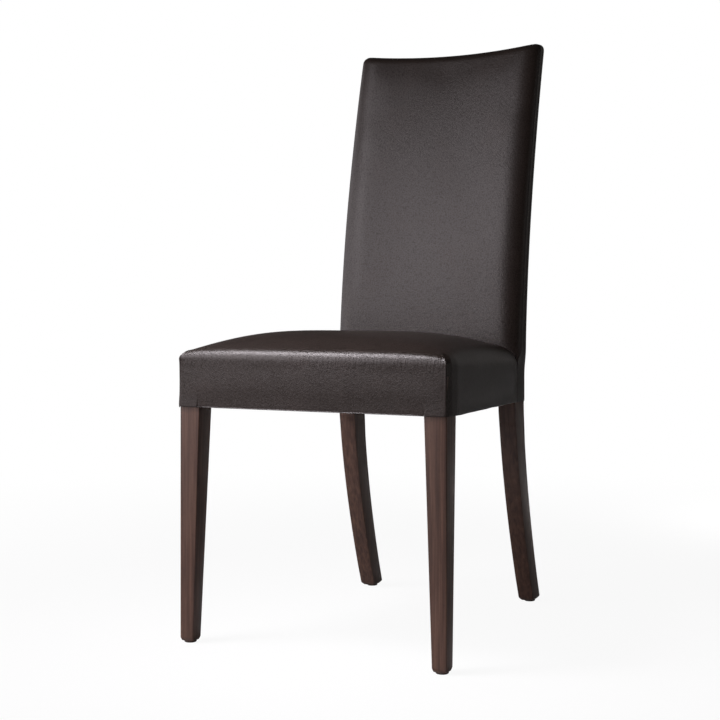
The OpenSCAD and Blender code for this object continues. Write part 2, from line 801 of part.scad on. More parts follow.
// Cloth under the seat, notched round the legs and the posts
module dust_cover() {
    m = 1.5;
    edge = 8;
    rear = rear_rail_y + rail_t - 3;
    half = [[0, edge], [leg_in_x - m, edge], [leg_in_x - m, leg_rear_y + m],
        [seat_half(leg_rear_y + m) - edge, leg_rear_y + m],
        [seat_half(post_y - m) - edge, post_y - m], [post_in_x - m, post_y - m],
        [post_in_x - m, rear], [0, rear]];
    color(cloth_colour)
        placed()
            difference() {
                translate([0, 0, skirt_z])
                    rotate([-drop_angle, 0, 0])
                        translate([0, 0, -dust_t - 0.05])
                            linear_extrude(dust_t)
                                polygon(concat(half, mirrored([for (k = [1 : 6]) half[k]])));
                staples(hole_fit);
            }
}

module dust_cover_staples() {
    color(steel_colour)
        placed() staples(0);
}

// Radius of the wrap's front edges below the padding, and the height over which they soften
wrap_r = 4;
soft_rise = 14;

// Half of the back's section, from the middle of the front round the right side to the middle of
// the rear, at a depth i below its face: each point is x and the distance behind the front edge
function wrap_half(z, i, t) =
    let (w = back_half(z) - i, soft = clamp((z - flap_z) / soft_rise),
        a = max(2, lerp(wrap_r, soft_w, soft) - i), b = max(2, lerp(wrap_r, soft_d, soft) - i),
        r = max(1, rear_r - i), seam = back_half(z) - margin)
    concat(
        [for (s = [0, 0.27, 0.54, 0.8]) [s * (w - a), i]],
        [for (g = [90, 70, 50, 31, 14, 0]) [w - a + a * cos(g), i + b - b * sin(g)]],
        [[w, lerp(i + b, t - i - r, 0.5)]],
        [for (g = [0, 45, 90]) [w - r + r * cos(g), t - i - r + r * sin(g)]],
        [for (s = [1, 0.66, 0.33, 0]) [seam * s, t - i]]);

// The whole ring, and which point of the half each of its points mirrors
half_points = 18;
ring_points = 2 * half_points - 2;
function half_index(k) = k < half_points ? k : ring_points - k;
function wrap_ring(z, i, t) =
    let (half = wrap_half(z, i, t))
    [for (k = [0 : ring_points - 1]) let (p = half[half_index(k)])
        k < half_points ? p : [-p[0], p[1]]];

function wrap_point(p, z) = [p[0], front_y(z) + p[1] + bowed(p[0], z), z];

// Lowest height of the leather at each point: it stops above the rails across the front
flap_z = foam_z + 4;
front_points = 4;
seam_point = 14;
side_point = 10;
function wrap_low_z(k) = half_index(k) <= front_points ? flap_z : hem_z(back_y);

// Rings of the leather round the back at a depth i: up to the top roll, and over it
window_row = 11;
function back_rings(i) =
    let (steps = [0, 0.06, 0.115, 0.145, 0.2, 0.3, 0.42, 0.54, 0.66, 0.78, 0.9, 0.975, 1],
        first = wrap_ring(back_root_z - 20, 0, back_low_t - leather_t))
    concat(
        [for (s = steps) [for (k = [0 : ring_points - 1])
            let (z = lerp(wrap_low_z(k), top_z(first[k][0]) - top_roll, s))
            wrap_point(wrap_ring(z, i, back_thick(z) - leather_t)[k], z)]],
        [for (g = [30, 58, 80]) [for (k = [0 : ring_points - 1])
            let (d = top_roll * (1 - cos(g)), z = top_z(first[k][0]) - roll_drop(d, top_roll),
                p = wrap_point(wrap_ring(z, i + d, back_thick(z) - leather_t)[k], z))
            [p[0], p[1], z - i]]]);

// A triangle of the outer skin, and the same one of the inner skin, whose points come n later
function both_skins(f, n) = [f, [n + f[0], n + f[2], n + f[1]]];

// Leather round the back: closed over the top, open below, with a window between its margins
module back_cover() {
    outer = back_rings(0);
    inner = back_rings(leather_t);
    rows = len(outer);
    cols = ring_points;
    n = rows * cols;
    seam_end = ring_points - seam_point;
    points = concat([for (ring = outer) for (p = ring) p], [for (ring = inner) for (p = ring) p]);
    function open(r, c) = r < window_row && c >= seam_point && c < seam_end;
    front = [for (c = [ring_points - side_point : ring_points + side_point]) c % cols];
    rear = [for (c = [ring_points - side_point - 1 : -1 : side_point + 1]) c];
    last = n - cols;
    function across(k) = round(k * (len(rear) - 1) / (len(front) - 1));
    walls = [for (r = [0 : rows - 2]) for (c = [0 : cols - 1]) if (!open(r, c))
        let (a = r * cols + c, b = r * cols + (c + 1) % cols, d = a + cols, e = b + cols)
            for (f = c < half_points - 1 ? [[a, d, e], [a, e, b]] : [[a, d, b], [b, d, e]])
                for (g = both_skins(f, n)) g];
    hems = [for (c = [0 : cols - 1]) if (!open(0, c))
        let (b = (c + 1) % cols)
            for (f = c < half_points - 1 ? [[c, b, n + b], [c, n + b, n + c]]
                : [[c, b, n + c], [b, n + b, n + c]]) f];
    seams = [for (r = [0 : window_row - 1])
        let (a = r * cols + seam_point, d = a + cols, b = r * cols + seam_end, t = b + cols)
            for (f = [[a, d, n + d], [a, n + d, n + a], [t, b, n + t], [b, n + b, n + t]]) f];
    lintel = [for (c = [seam_point : seam_end - 1])
        let (a = window_row * cols + c, b = a + 1)
            for (f = c < half_points - 1 ? [[a, b, n + b], [a, n + b, n + a]]
                : [[a, b, n + a], [b, n + b, n + a]]) f];
    cap = [for (k = [0 : len(front) - 2])
        let (a = last + front[k], b = last + front[k + 1],
            d = last + rear[across(k)], e = last + rear[across(k + 1)])
            for (f = d == e ? [[b, a, d]]
                : k < side_point ? [[b, a, e], [a, d, e]] : [[b, a, d], [b, d, e]])
                for (g = both_skins(f, n)) g];
    color(leather_colour)
        placed()
            polyhedron(points, concat(walls, hems, seams, lintel, cap));
}

// Leather panel over the rear of the back, inside its edges
module rear_cover() {
    steps = [for (k = [0 : 13]) k / 13];
    cols = [for (c = [0 : 12]) 1 - c / 6];
    rows = function(lift) [for (s = steps) [for (c = cols)
        let (z0 = lerp(hem_z(back_y) + 0.5, panel_top_z, s),
            x = c * (back_half(z0) - rear_r + panel_reach), z = z0 - (chair_h - top_z(x)) * s)
        [x, front_y(z) + back_thick(z) - leather_t + lift + bowed(x, z), z]]];
    color(leather_colour)
        placed()
            sheet(rows(leather_t + panel_fit), rows(panel_fit));
}

// Face of the frame in the back: the posts, and the bent plywood between them
function frame_y(x, z) = front_y(z) + back_pad + max(0, bowed(x, z) - bowed(post_in_at(z), z));

module back_plywood() {
    steps = [for (k = [0 : 12]) k / 12];
    rows = function(lift) [for (s = steps) [for (c = [-4 : 4])
        let (z = lerp(low_rail_z - ply_edge, crest_z + ply_edge - top_dip * (1 - c * c / 16), s),
            x = (post_in_x + post_shift(z) - 1) * c / 4)
        [x, frame_y(x, z) + lift, z]]];
    color(raw_wood_colour)
        placed()
            sheet(rows(0), rows(ply_t));
}

// Room between the foam's top and the roll of the leather over it
room_above = 4.5;

// Foam over the front of the posts and the plywood
module back_foam() {
    i = leather_t + foam_fit;
    a = soft_w - i;
    b = soft_d - i;
    turn = asin((soft_d - back_pad + foam_fit) / b);
    edge = [for (k = [0 : 4]) let (g = lerp(turn, 90, k / 4)) [a * cos(g), soft_d - b * sin(g)]];
    // Ring at a height z, from the middle of the front, drawn in by d, its height dipped by a share
    // of the top edge's dip
    ring = function(z, d, share)
        let (w = back_half(z) - i - a,
            front = concat(
                [for (k = [0 : 4]) [d - w - edge[k][0], edge[k][1]]],
                [for (s = [-0.66, -0.33, 0, 0.33, 0.66]) [s * w, i]],
                [for (k = [4 : -1 : 0]) [w + edge[k][0] - d, edge[k][1]]]),
            dipped = function(x) z - (chair_h - top_z(x)) * share,
            all = concat(
            [for (p = front) let (h = dipped(p[0]), face = frame_y(p[0], h) - foam_fit)
                [p[0], min(front_y(h) + p[1] + 0.45 * d + bowed(p[0], h), face), h]],
            [for (s = [1, 0.5, 0, -0.5, -1]) let (x = s * post_in_at(z), h = dipped(x))
                [x, frame_y(x, h) - foam_fit, h]]))
        [for (k = [0 : len(all) - 1]) all[(k + 7) % len(all)]];
    low = low_rail_z - 18;
    high = chair_h - top_roll - room_above;
    tip_z = high + 8 - top_dip;
    color(foam_colour)
        placed()
            loft(concat(
                [for (s = [0 : 10]) ring(lerp(low, high, s / 10), 0, s / 10)],
                [ring(high + 5, 2.5, 1), ring(high + 8, 5.5, 1)]),
                [0, front_y(tip_z) + i + 3.5 + bowed(0, tip_z), tip_z]);
}

module front_left_glide() {
    placed() glide(-front_foot[0], front_foot[1]);
}

module front_right_glide() {
    placed() glide(front_foot[0], front_foot[1]);
}

module rear_left_glide() {
    placed() glide(-rear_foot[0], rear_foot[1]);
}

module rear_right_glide() {
    placed() glide(rear_foot[0], rear_foot[1]);
}

front_left_leg();
front_right_leg();
rear_left_post();
rear_right_post();
front_seat_rail();
left_seat_rail();
right_seat_rail();
rear_seat_rail();
crest_rail();
low_back_rail();
front_left_block();
front_right_block();
rear_left_block();
rear_right_block();
block_screws();
seat_webbing();
seat_foam();
seat_cover();
dust_cover();
dust_cover_staples();
back_plywood();
back_foam();
back_cover();
rear_cover();
front_left_glide();
front_right_glide();
rear_left_glide();
rear_right_glide();
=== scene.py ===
# %% [markdown]
# # A leather dining chair
# A high-backed dining chair, covered all over in dark brown leather, on dark stained beech legs.
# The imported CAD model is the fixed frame: it gives every size and place. This lesson dresses it.
# The leather covers start as flat grids, like hides on a cutting table. They are turned over the
# chair's edges, blown up gently by a cloth simulation and pleated. The legs get eased edges, and
# every surface gets a material of its own.

# %% Load the frame
import math

import bmesh
import bpy
import numpy as np
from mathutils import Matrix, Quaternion, Vector


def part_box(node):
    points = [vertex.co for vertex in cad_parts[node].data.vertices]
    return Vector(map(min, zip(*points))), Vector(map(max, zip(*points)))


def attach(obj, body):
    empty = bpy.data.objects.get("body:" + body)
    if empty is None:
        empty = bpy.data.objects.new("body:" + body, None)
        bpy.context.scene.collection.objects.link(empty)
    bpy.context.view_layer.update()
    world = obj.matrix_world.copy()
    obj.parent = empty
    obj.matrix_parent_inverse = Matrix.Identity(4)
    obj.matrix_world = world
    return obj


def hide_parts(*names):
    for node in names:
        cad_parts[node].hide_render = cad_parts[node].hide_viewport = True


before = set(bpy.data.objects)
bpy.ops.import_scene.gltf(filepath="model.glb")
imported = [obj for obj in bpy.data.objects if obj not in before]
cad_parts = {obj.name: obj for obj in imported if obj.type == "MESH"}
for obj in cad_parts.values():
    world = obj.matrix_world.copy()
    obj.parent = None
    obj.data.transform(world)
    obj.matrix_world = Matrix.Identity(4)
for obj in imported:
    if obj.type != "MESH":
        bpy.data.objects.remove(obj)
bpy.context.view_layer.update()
scene = bpy.context.scene
mm = 0.001

# %% [markdown]
# ## The camera
# The photograph was taken level, about 2.4 m away and half a metre above the floor, with the
# lens shifted down so that the feet stay in the picture and the uprights stay upright. The
# place and the focal length come from the corners of the skirt, the feet and the top of the back.

# %% Camera
bpy.ops.object.camera_add(location=(1.0153, -2.1363, 0.5281),
                          rotation=(math.radians(90), 0, math.radians(26.6)))
camera = bpy.context.object
camera.name = "photo_camera"
camera.data.sensor_width = 36
camera.data.lens = 72.07
camera.data.shift_y = -0.0861
camera.data.dof.use_dof = False
camera.data.clip_end = 50
scene.camera = camera
print("lens", camera.data.lens, "mm, shift", camera.data.shift_y)

# %% [markdown]
# ## Helpers for meshes
# An operator works on whatever is selected, so each step first picks exactly one object or
# exactly the faces it needs. These few helpers do that. They also copy a node of the CAD model
# with its doubled points merged, because its mesh comes as loose triangles.


# %% Selecting
def pick(piece):
    """Select this object and nothing else, and make it the active one."""
    if bpy.context.object and bpy.context.object.mode != "OBJECT":
        bpy.ops.object.mode_set(mode="OBJECT")
    bpy.ops.object.select_all(action="DESELECT")
    piece.select_set(True)
    bpy.context.view_layer.objects.active = piece


def pick_parts(piece, kind, wanted):
    """Go to edit mode with the faces or edges selected for which wanted(part) is true."""
    pick(piece)
    bpy.ops.object.mode_set(mode="EDIT")
    bpy.ops.mesh.select_mode(type=kind)
    bpy.ops.mesh.select_all(action="DESELECT")
    mesh = bmesh.from_edit_mesh(piece.data)
    chosen = [part for part in (mesh.faces if kind == "FACE" else mesh.edges) if wanted(part)]
    for part in chosen:
        part.select_set(True)
    mesh.select_flush_mode()
    bmesh.update_edit_mesh(piece.data)
    return len(chosen)


def pick_faces(piece, wanted):
    """The same for faces, by where their centre is."""
    return pick_parts(piece, "FACE", lambda face: wanted(face.calc_center_median()))


def edit_all(piece, operator, **settings):
    """Run one operator of edit mode on all of a piece."""
    pick(piece)
    bpy.ops.object.mode_set(mode="EDIT")
    bpy.ops.mesh.select_all(action="SELECT")
    operator(**settings)
    bpy.ops.object.mode_set(mode="OBJECT")


# %% Starting and finishing a piece
def flat_grid(name, columns, rows):
    """A flat grid of squares, from -1 to 1 along x and y."""
    bpy.ops.mesh.primitive_grid_add(x_subdivisions=columns, y_subdivisions=rows, size=2,
                                    location=(0, 0, 0))
    piece = bpy.context.object
    piece.name = name
    return piece


def copy_of(node, name):
    """A separate copy of a CAD node, its loose triangles merged into one surface."""
    piece = bpy.data.objects.new(name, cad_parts[node].data.copy())
    scene.collection.objects.link(piece)
    edit_all(piece, bpy.ops.mesh.remove_doubles, threshold=0.02 * mm)
    return piece


def apply(piece, kind, **settings):
    """Add a modifier with these settings and apply it."""
    pick(piece)
    modifier = piece.modifiers.new(kind.lower(), kind)
    for key, value in settings.items():
        setattr(modifier, key, value)
    bpy.ops.object.modifier_apply(modifier=modifier.name)


def shade(piece, crease):
    """Smooth shading, with a hard line only where faces meet at more than this many degrees."""
    pick(piece)
    bpy.ops.object.shade_smooth_by_angle(angle=math.radians(crease))


# %% Reading and moving points
def points(piece):
    """The piece's points as an array of x, y, z in metres."""
    co = np.empty(len(piece.data.vertices) * 3, np.float64)
    piece.data.vertices.foreach_get("co", co)
    return co.reshape(-1, 3)


def set_points(piece, co):
    piece.data.vertices.foreach_set("co", co.astype(np.float32).ravel())
    piece.data.update()


def normals(piece):
    """The direction of the surface at each point."""
    n = np.empty(len(piece.data.vertices) * 3, np.float32)
    piece.data.vertices.foreach_get("normal", n)
    return n.reshape(-1, 3).astype(np.float64)


def smoothstep(low, high, x):
    """From 0 at low to 1 at high, with soft ends."""
    t = np.clip((x - low) / (high - low), 0, 1)
    return t * t * (3 - 2 * t)


def report(piece):
    size = [round(1000 * d, 1) for d in piece.dimensions]
    print(f"{piece.name}: {len(piece.data.polygons)} faces, {size} mm")


# %% [markdown]
# ## Where the hems run
# The leather of the seat ends in a straight hem that drops 8 mm from front to rear. The wrap
# round the rear posts ends at the same line. These few values are read from the CAD nodes or
# repeat those of the CAD source.

# %% Measures of the frame
leather_t = 1.4 * mm
seat_low, seat_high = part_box("seat_cover")
leg_low, leg_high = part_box("front_right_leg")
front_y, rear_y = seat_low.y, seat_high.y
half_front, half_rear = seat_high.x, 171 * mm
straight_y = 40 * mm
hem_front, hem_rear = 362 * mm, 354 * mm
seat_edge_z, crown_h, rear_drop = 448 * mm, 36 * mm, 8.6 * mm
back_root, chair_top = 440 * mm, 974 * mm
flap_z, window_z = 425 * mm, 944 * mm
leg_in, leg_back = leg_low.x + 0.2 * mm, leg_high.y


def hem_height(y):
    """Height of the seat's hem at a distance along the chair."""
    return hem_front + (hem_rear - hem_front) * (y - front_y) / (rear_y - front_y)


def seat_half(y):
    """Half the seat's width at y: straight beside the front legs, then tapering to the rear."""
    t = np.clip((y - front_y - straight_y) / (rear_y - front_y - straight_y), 0, 1)
    return half_front + (half_rear - half_front) * t


print("seat from y", round(front_y, 4), "to", round(rear_y, 4), "m, top", round(seat_high.z, 4))


# %% [markdown]
# ## Blowing up a cover
# A leather cover is cut a little small and pulled over foam, so it stands under tension and
# every flat side swells slightly. Modelling that by hand is slow. A cloth simulation does it:
# air pressure pushes the cover outwards for a few frames while its hems are held. The form
# starts slightly small. Only the outward part of the movement is kept, capped and evened out,
# so that the swelling is soft and the size stays the chair's.


# %% Cloth simulation of a cover
def spread(piece, values, rounds):
    """Even out one number per point with its neighbours."""
    ends = np.empty(len(piece.data.edges) * 2, np.int64)
    piece.data.edges.foreach_get("vertices", ends)
    first, second = ends[0::2], ends[1::2]
    count = np.bincount(ends, minlength=len(values)).astype(float)
    for _ in range(rounds):
        total = np.bincount(first, values[second], len(values))
        total += np.bincount(second, values[first], len(values))
        values = 0.5 * values + 0.5 * total / np.maximum(count, 1)
    return values


def blow_up(piece, held, cap, shrink=1.2 * mm, last_frame=20):
    """Shrink a cover a little, let cloth under pressure swell it, keep a capped, even swelling."""
    outward, free = normals(piece), (1 - held)[:, None]
    start = points(piece) - shrink * free * outward
    set_points(piece, start)
    group = piece.vertex_groups.new(name="held")
    for weight in (0.25, 0.5, 0.75, 1.0):
        near = np.flatnonzero(np.abs(held - weight) < 0.125)
        group.add([int(i) for i in near], weight, "REPLACE")
    pick(piece)
    cloth = piece.modifiers.new("leather", "CLOTH")
    stuff = cloth.settings
    stuff.quality = 7
    stuff.mass = 0.3
    stuff.tension_stiffness = stuff.compression_stiffness = 20
    stuff.shear_stiffness = 10
    stuff.bending_stiffness = 4
    stuff.use_pressure = True
    stuff.uniform_pressure_force = 4
    stuff.effector_weights.gravity = 0
    stuff.vertex_group_mass = "held"
    cloth.collision_settings.use_collision = False
    cloth.point_cache.frame_start, cloth.point_cache.frame_end = 1, last_frame
    for number in range(1, last_frame + 1):
        scene.frame_set(number)
    bpy.ops.object.modifier_apply(modifier=cloth.name)
    scene.frame_set(1)
    piece.vertex_groups.clear()
    out = np.sum((points(piece) - start) * outward, axis=1)
    print(f"{piece.name}: cloth swelled {1000 * out.mean():.1f} mm on average,",
          f"{1000 * out.max():.1f} mm at most, {len(start)} points")
    swell = spread(piece, cap * np.tanh(np.clip(out, 0, None) / cap), 14)
    set_points(piece, start + free * swell[:, None] * outward)


# %% [markdown]
# ## The seat cover
# One piece of leather over the foam: a crowned top, a tight rolled edge and a straight skirt,
# pleated at the two front corners and turned under the rails. It starts as a flat grid, like
# the flat hide, and its border is extruded down row by row. Then each row gets its place: the
# outer rows of the grid turn over the edge on a quarter circle, the extruded rows run down the
# skirt, and the last three turn under the hem. Rows stand close together where leather bends.

# %% Grid and skirt rows
edge_roll, side_roll, rear_roll = 12 * mm, 16 * mm, 22 * mm
corner_r, sharp_r = 6 * mm, 1.5 * mm
# Degrees that the roll's lines have turned, and each row's share of the skirt and of the margin
turns = [0, 16, 33, 50, 68, 90]
skirt_rows = [0, 0.08, 0.17, 0.26, 0.35, 0.44, 0.53, 0.62, 0.71, 0.80, 0.88, 0.94, 0.98, 1]
under_rows = [0, 0.12, 0.5, 1]
flat_x, flat_y = 64, 60
lines_x, lines_y = flat_x + 2 * len(turns) - 2, flat_y + 2 * len(turns) - 2
seat = flat_grid("seat_leather", lines_x, lines_y)
pick_parts(seat, "EDGE", lambda e: e.is_boundary)
for _ in skirt_rows[1:] + under_rows[1:]:
    bpy.ops.mesh.extrude_edges_move(TRANSFORM_OT_translate={"value": (0, 0, -1)})
# Extrude numbers its new faces differently each run, and the simulation feels their order, so
# they are numbered again by their distance from a far point
scene.cursor.location = (3.1, -7.3, 2.2)
edit_all(seat, bpy.ops.mesh.sort_elements, type="CURSOR_DISTANCE", elements={"EDGE", "FACE"})
scene.cursor.location = (0, 0, 0)
report(seat)

# %% [markdown]
# ### Crown and rolled edges
# Foam under tight leather rises steeply from its edges and is nearly flat inside, which a high
# power of the distance from the middle gives. The roll of each edge is a quarter circle. Near a
# corner both edges turn at once, so each line of the grid is drawn in there by the other edge's
# turn. That keeps the corner a small, round one.


# %% Crown of the seat, and how the grid's lines turn at its edges
def crown(x, y):
    """Height of the seat at x, y, without its rolled edges. The powers follow the outline."""
    u = np.minimum(1, np.abs(x) / seat_half(y))
    v = np.clip((y - front_y) / (rear_y - front_y), 0, 1)
    swell = (1 - u ** 4.7) * (1 - (1 - v) ** 6.2) * (1 - 0.56 * v * v)
    return seat_edge_z - rear_drop * v + crown_h * swell


def across(t, lines, flat):
    """A line's share of the turn at the near edge and at the far edge, and its place between."""
    k = np.rint((t + 1) / 2 * lines).astype(int)
    bend = np.cos(np.radians(np.array(turns)))
    near = np.where(k < len(turns), bend[np.minimum(k, len(turns) - 1)], 0)
    far = np.where(lines - k < len(turns), bend[np.minimum(lines - k, len(turns) - 1)], 0)
    return near, far, np.clip((k - len(turns) + 1) / flat, 0, 1)


def corner_reach(share, along_roll, roll, r):
    """How far out a line still stands where the other edge has made this share of its turn."""
    along = share * (along_roll - r * (1 - math.sqrt(0.5)))
    past = np.clip(along - along_roll + r, 0, r)
    return (roll - r + np.sqrt(r ** 2 - past ** 2)) / roll


print("crown in the middle", round(1000 * float(crown(0, (front_y + rear_y) / 2))), "mm")

# %% Plan of the hide: every point's x and y, and its height on top
co = points(seat)
row = np.rint(-co[:, 2]).astype(int)
left, right, place_x = across(co[:, 0], lines_x, flat_x)
front, rear, place_y = across(co[:, 1], lines_y, flat_y)
# p and q are a point's share of the turn over its side edge and over the front or rear edge
p, q = np.maximum(left, right), np.maximum(front, rear)
side, end = np.where(left > right, -1, 1), np.where(front > rear, -1, 1)
# The front corners are round, the rear ones stand sharp against the back
round_r = np.where(rear > 0, sharp_r, corner_r)
p_in = p * corner_reach(q, edge_roll, side_roll, round_r)
q_in = q * corner_reach(p, side_roll, edge_roll, round_r)
y = front_y + edge_roll + place_y * (rear_y - front_y - 2 * edge_roll) + end * edge_roll * q_in
half = seat_half(y)
soft_roll = side_roll + (rear_roll - side_roll) * place_y
x = np.where(p > 0, side * (half - soft_roll + soft_roll * p_in),
             (2 * place_x - 1) * (half - soft_roll))
bent = np.clip(p * p + q * q - p * p * q * q, 0, 1)
roll = edge_roll + (soft_roll - edge_roll) * p * p / np.maximum(p * p + q * q, 1e-9)
z = crown(x, y) - roll * (1 - np.sqrt(1 - bent))

# %% [markdown]
# ### Skirt and hem
# The skirt hangs straight down to the hem. Behind it the leather turns 18 mm under the rails,
# where the black cloth covers its raw edge; over a leg it is cut off just inside. Where the seat
# meets the back the skirt is left open, because the wrap of the back closes it.

# %% Rows of the skirt and of the margin under it
turn_under, turn_at_leg, open_half = 18 * mm, 1.9 * mm, 169.5 * mm
down = np.array(skirt_rows)[np.clip(row, 0, len(skirt_rows) - 1)]
z = np.where(row > 0, z + (hem_height(y) - z) * down, z)
behind = np.clip(row - len(skirt_rows) + 1, 0, len(under_rows) - 1)
over_leg = (smoothstep(leg_in, leg_in + 3 * mm, np.abs(x))
            * smoothstep(leg_back, leg_back - 2 * mm, y))
reach = turn_under + (turn_at_leg - turn_under) * over_leg
reach = np.where(y > rear_y - 6 * mm, turn_at_leg, reach) * np.array(under_rows)[behind]
inward = np.column_stack([np.where(p >= 1, -side, 0), np.where(q >= 1, -end, 0)]).astype(float)
inward /= np.maximum(np.linalg.norm(inward, axis=1, keepdims=True), 1)
x, y = x + reach * inward[:, 0], y + reach * inward[:, 1]
set_points(seat, np.column_stack([x, y, z]))
open_z = seat_edge_z - rear_drop - 30 * mm
pick_faces(seat, lambda c: c.z < open_z and c.y > rear_y - 6 * mm and abs(c.x) < open_half)
bpy.ops.mesh.delete(type="FACE")
bpy.ops.mesh.select_all(action="SELECT")
bpy.ops.mesh.normals_make_consistent(inside=False)
bpy.ops.object.mode_set(mode="OBJECT")
report(seat)

# %% Simulate the seat's leather
co = points(seat)
held = 1 - smoothstep(0, 22 * mm, co[:, 2] - hem_height(co[:, 1]))
held = np.maximum(held, smoothstep(rear_y - 20 * mm, rear_y - 4 * mm, co[:, 1]))
blow_up(seat, held, cap=(1.0 + 1.4 * smoothstep(420 * mm, 450 * mm, co[:, 2])) * mm)
apply(seat, "SUBSURF", levels=1, render_levels=1)
report(seat)

# %% [markdown]
# ### Pleats and tucks
# Flat leather can't go round a corner without a fold. At each front corner the upholsterer lays
# one narrow pleat down the side, and where the hem meets a leg the leather is slit, so a short
# tuck runs up from the leg's inner edge. The squares there are divided again, so that there are
# enough points. Then the points are pushed out or in by small formulas: every fold is a bell
# curve or a soft step across its line, faded out at its ends.


# %% Finer squares at corners and legs
def near_corner(c):
    return abs(c.x) > half_front - 16 * mm and c.y < front_y + 22 * mm and c.z > 375 * mm


def near_tuck(c):
    low = c.z < 385 * mm
    on_front = c.y < front_y + 4 * mm and abs(abs(c.x) - leg_in) < 9 * mm
    on_side = abs(c.y - leg_back) < 9 * mm and abs(c.x) > half_front - 6 * mm
    return low and (on_front or on_side)


pick_faces(seat, lambda c: near_corner(c) or near_tuck(c))
bpy.ops.mesh.subdivide(number_cuts=2, smoothness=0)
bpy.ops.object.mode_set(mode="OBJECT")
report(seat)


# %% Pleats at the corners, tucks and steps at the legs
def bell(distance, width):
    return np.exp(-(distance / width) ** 2)


pleat_deep, lip_high, ear_high = 4.0 * mm, 1.1 * mm, 2.6 * mm
co, n = points(seat), normals(seat)
x, y, z = co[:, 0].copy(), co[:, 1].copy(), co[:, 2].copy()
hem_z = hem_height(y)
push = np.zeros(len(co))
for side in (-1, 1):
    # Way round the corner's upright edge: 0 on the very corner, negative on the front
    inside = half_front - side * x
    way = (y - front_y) - inside
    # The pleat: the front's leather ends in a folded lip, and the side goes in under it
    strength = 0.45 + 0.55 * smoothstep(390 * mm, 430 * mm, z)
    strength *= smoothstep(hem_z - 1 * mm, hem_z + 6 * mm, z)
    strength *= 1 - smoothstep(444 * mm, 453 * mm, z)
    strength *= 1 - smoothstep(12 * mm, 18 * mm, inside)
    strength *= 1 - smoothstep(19 * mm, 26 * mm, y - front_y)
    fold = smoothstep(-0.4 * mm, 2.0 * mm, way) * (1 - smoothstep(3.4 * mm, 18 * mm, way))
    push += strength * (lip_high * bell(way + 1.6 * mm, 2.1 * mm) - pleat_deep * fold)
    # The ear: a small swelling on the very corner, where the folded leather is thick
    from_ear = np.sqrt(inside ** 2 + (y - front_y) ** 2 + (z - 441 * mm) ** 2)
    push += ear_high * bell(from_ear, 6.5 * mm)
    # Between the legs the rails stand back a little, so the leather steps in at each leg
    front_face = smoothstep(front_y + 6 * mm, front_y + 2 * mm, y)
    side_face = smoothstep(half_front - 6 * mm, half_front - 2 * mm, side * x)
    fade = np.clip(1 - (z - hem_z) / (34 * mm), 0, 1) ** 2
    past_leg = smoothstep(leg_in + 4 * mm, leg_in - 3 * mm, np.abs(x))
    push -= 0.5 * mm * fade * front_face * past_leg
    push -= 0.7 * mm * fade * side_face * smoothstep(leg_back - 4 * mm, leg_back + 3 * mm, y)
    # The tucks above the leg's inner edges
    tuck = np.clip(1 - (z - hem_z) / (14 * mm), 0, 1)
    push -= 1.0 * mm * tuck * front_face * bell(side * x - leg_in - 1 * mm, 1.2 * mm)
    push -= 0.9 * mm * tuck * side_face * bell(y - leg_back - 1 * mm, 1.2 * mm)

# %% Long soft waves of the skirt and of its hem: the foam never presses quite evenly
skirt = smoothstep(hem_z, hem_z + 20 * mm, z) * (1 - smoothstep(420 * mm, 435 * mm, z))
push += 0.16 * mm * skirt * (np.sin(31 * x + 0.7) + np.sin(23 * y + 57 * z))
push *= 1 - smoothstep(0.3, 0.8, -n[:, 2])
co += push[:, None] * n
near_hem = 1 - smoothstep(2 * mm, 20 * mm, z - hem_z)
co[:, 2] += 0.25 * mm * near_hem * np.sin(90 * x) * np.cos(70 * y)
set_points(seat, co)
print("deepest fold", round(1000 * float(push.min()), 2), "mm, highest lip",
      round(1000 * float(push.max()), 2), "mm")

# %% Thickness of the seat's leather
apply(seat, "SOLIDIFY", thickness=leather_t, offset=-1)
report(seat)

# %% [markdown]
# ## The cover of the back
# One piece of leather is drawn over the padded back like a sock: up the front, over the top,
# round both sides and onto the rear, where its margins are pinned. It could be cut from a solid,
# but then its bends would lie across the mesh. So it starts as a grid whose columns run round
# the back and whose rows run up it. First come the lines of the back as formulas: how it leans,
# how wide and thick it is at each height, and how it is hollowed for the shoulders.

# %% The back's lines
back_rise = chair_top - back_root
top_half, top_dip = 174.1 * mm, 9 * mm


def up(z):
    """The share of the back's height at z."""
    return np.maximum(0, (z - back_root) / back_rise)


def back_front(z):
    """Where the front of the back stands at a height: it leans, and curves further at the top."""
    return rear_y + 0.6 * mm + 12.2 * mm * up(z) + 86.9 * mm * up(z) ** 1.64


def back_half(z):
    """Half the back's width: narrow round the posts, wider above the seat."""
    low = 170.7 * mm + 2.6 * mm * smoothstep(back_root - 40 * mm, back_root, z)
    return low + 0.8 * mm * up(z)


def back_thick(z):
    """Thickness of the back, a little less at the top."""
    return (48 - 6 * up(z)) * mm


def pad_wide(z):
    """Width of the soft padded edge in front: widest at the height of the sitter's waist."""
    return np.interp(z, [0.44, 0.58, 0.82, 0.95], [36 * mm, 44 * mm, 41 * mm, 35 * mm])


def hollow(x, z):
    """The back is hollowed across, for the sitter's shoulders, more at the top."""
    return (4 + 10 * up(z)) * mm * (1 - np.minimum(1, np.abs(x) / back_half(z)) ** 2)


def top_edge(x):
    """Height of the top edge, which dips in the middle."""
    return chair_top - top_dip * (1 - np.minimum(1, np.abs(x) / top_half) ** 2)


for level in (0.36, 0.44, 0.70, 0.95):
    print(f"at {level} m: front {1000 * back_front(level):.0f} mm,",
          f"half width {1000 * back_half(level):.1f} mm, thick {1000 * back_thick(level):.1f} mm")

# %% [markdown]
# ### Grid of the back's leather
# Each row of the grid is one ring round the back: flat in front, a soft padded edge, a short
# flat side, a tighter turn behind and a margin on the rear. The top rows are drawn in on a
# quarter circle and closed along the middle of the top. Below the flap, where the padding ends,
# the leather lies flat on the posts.

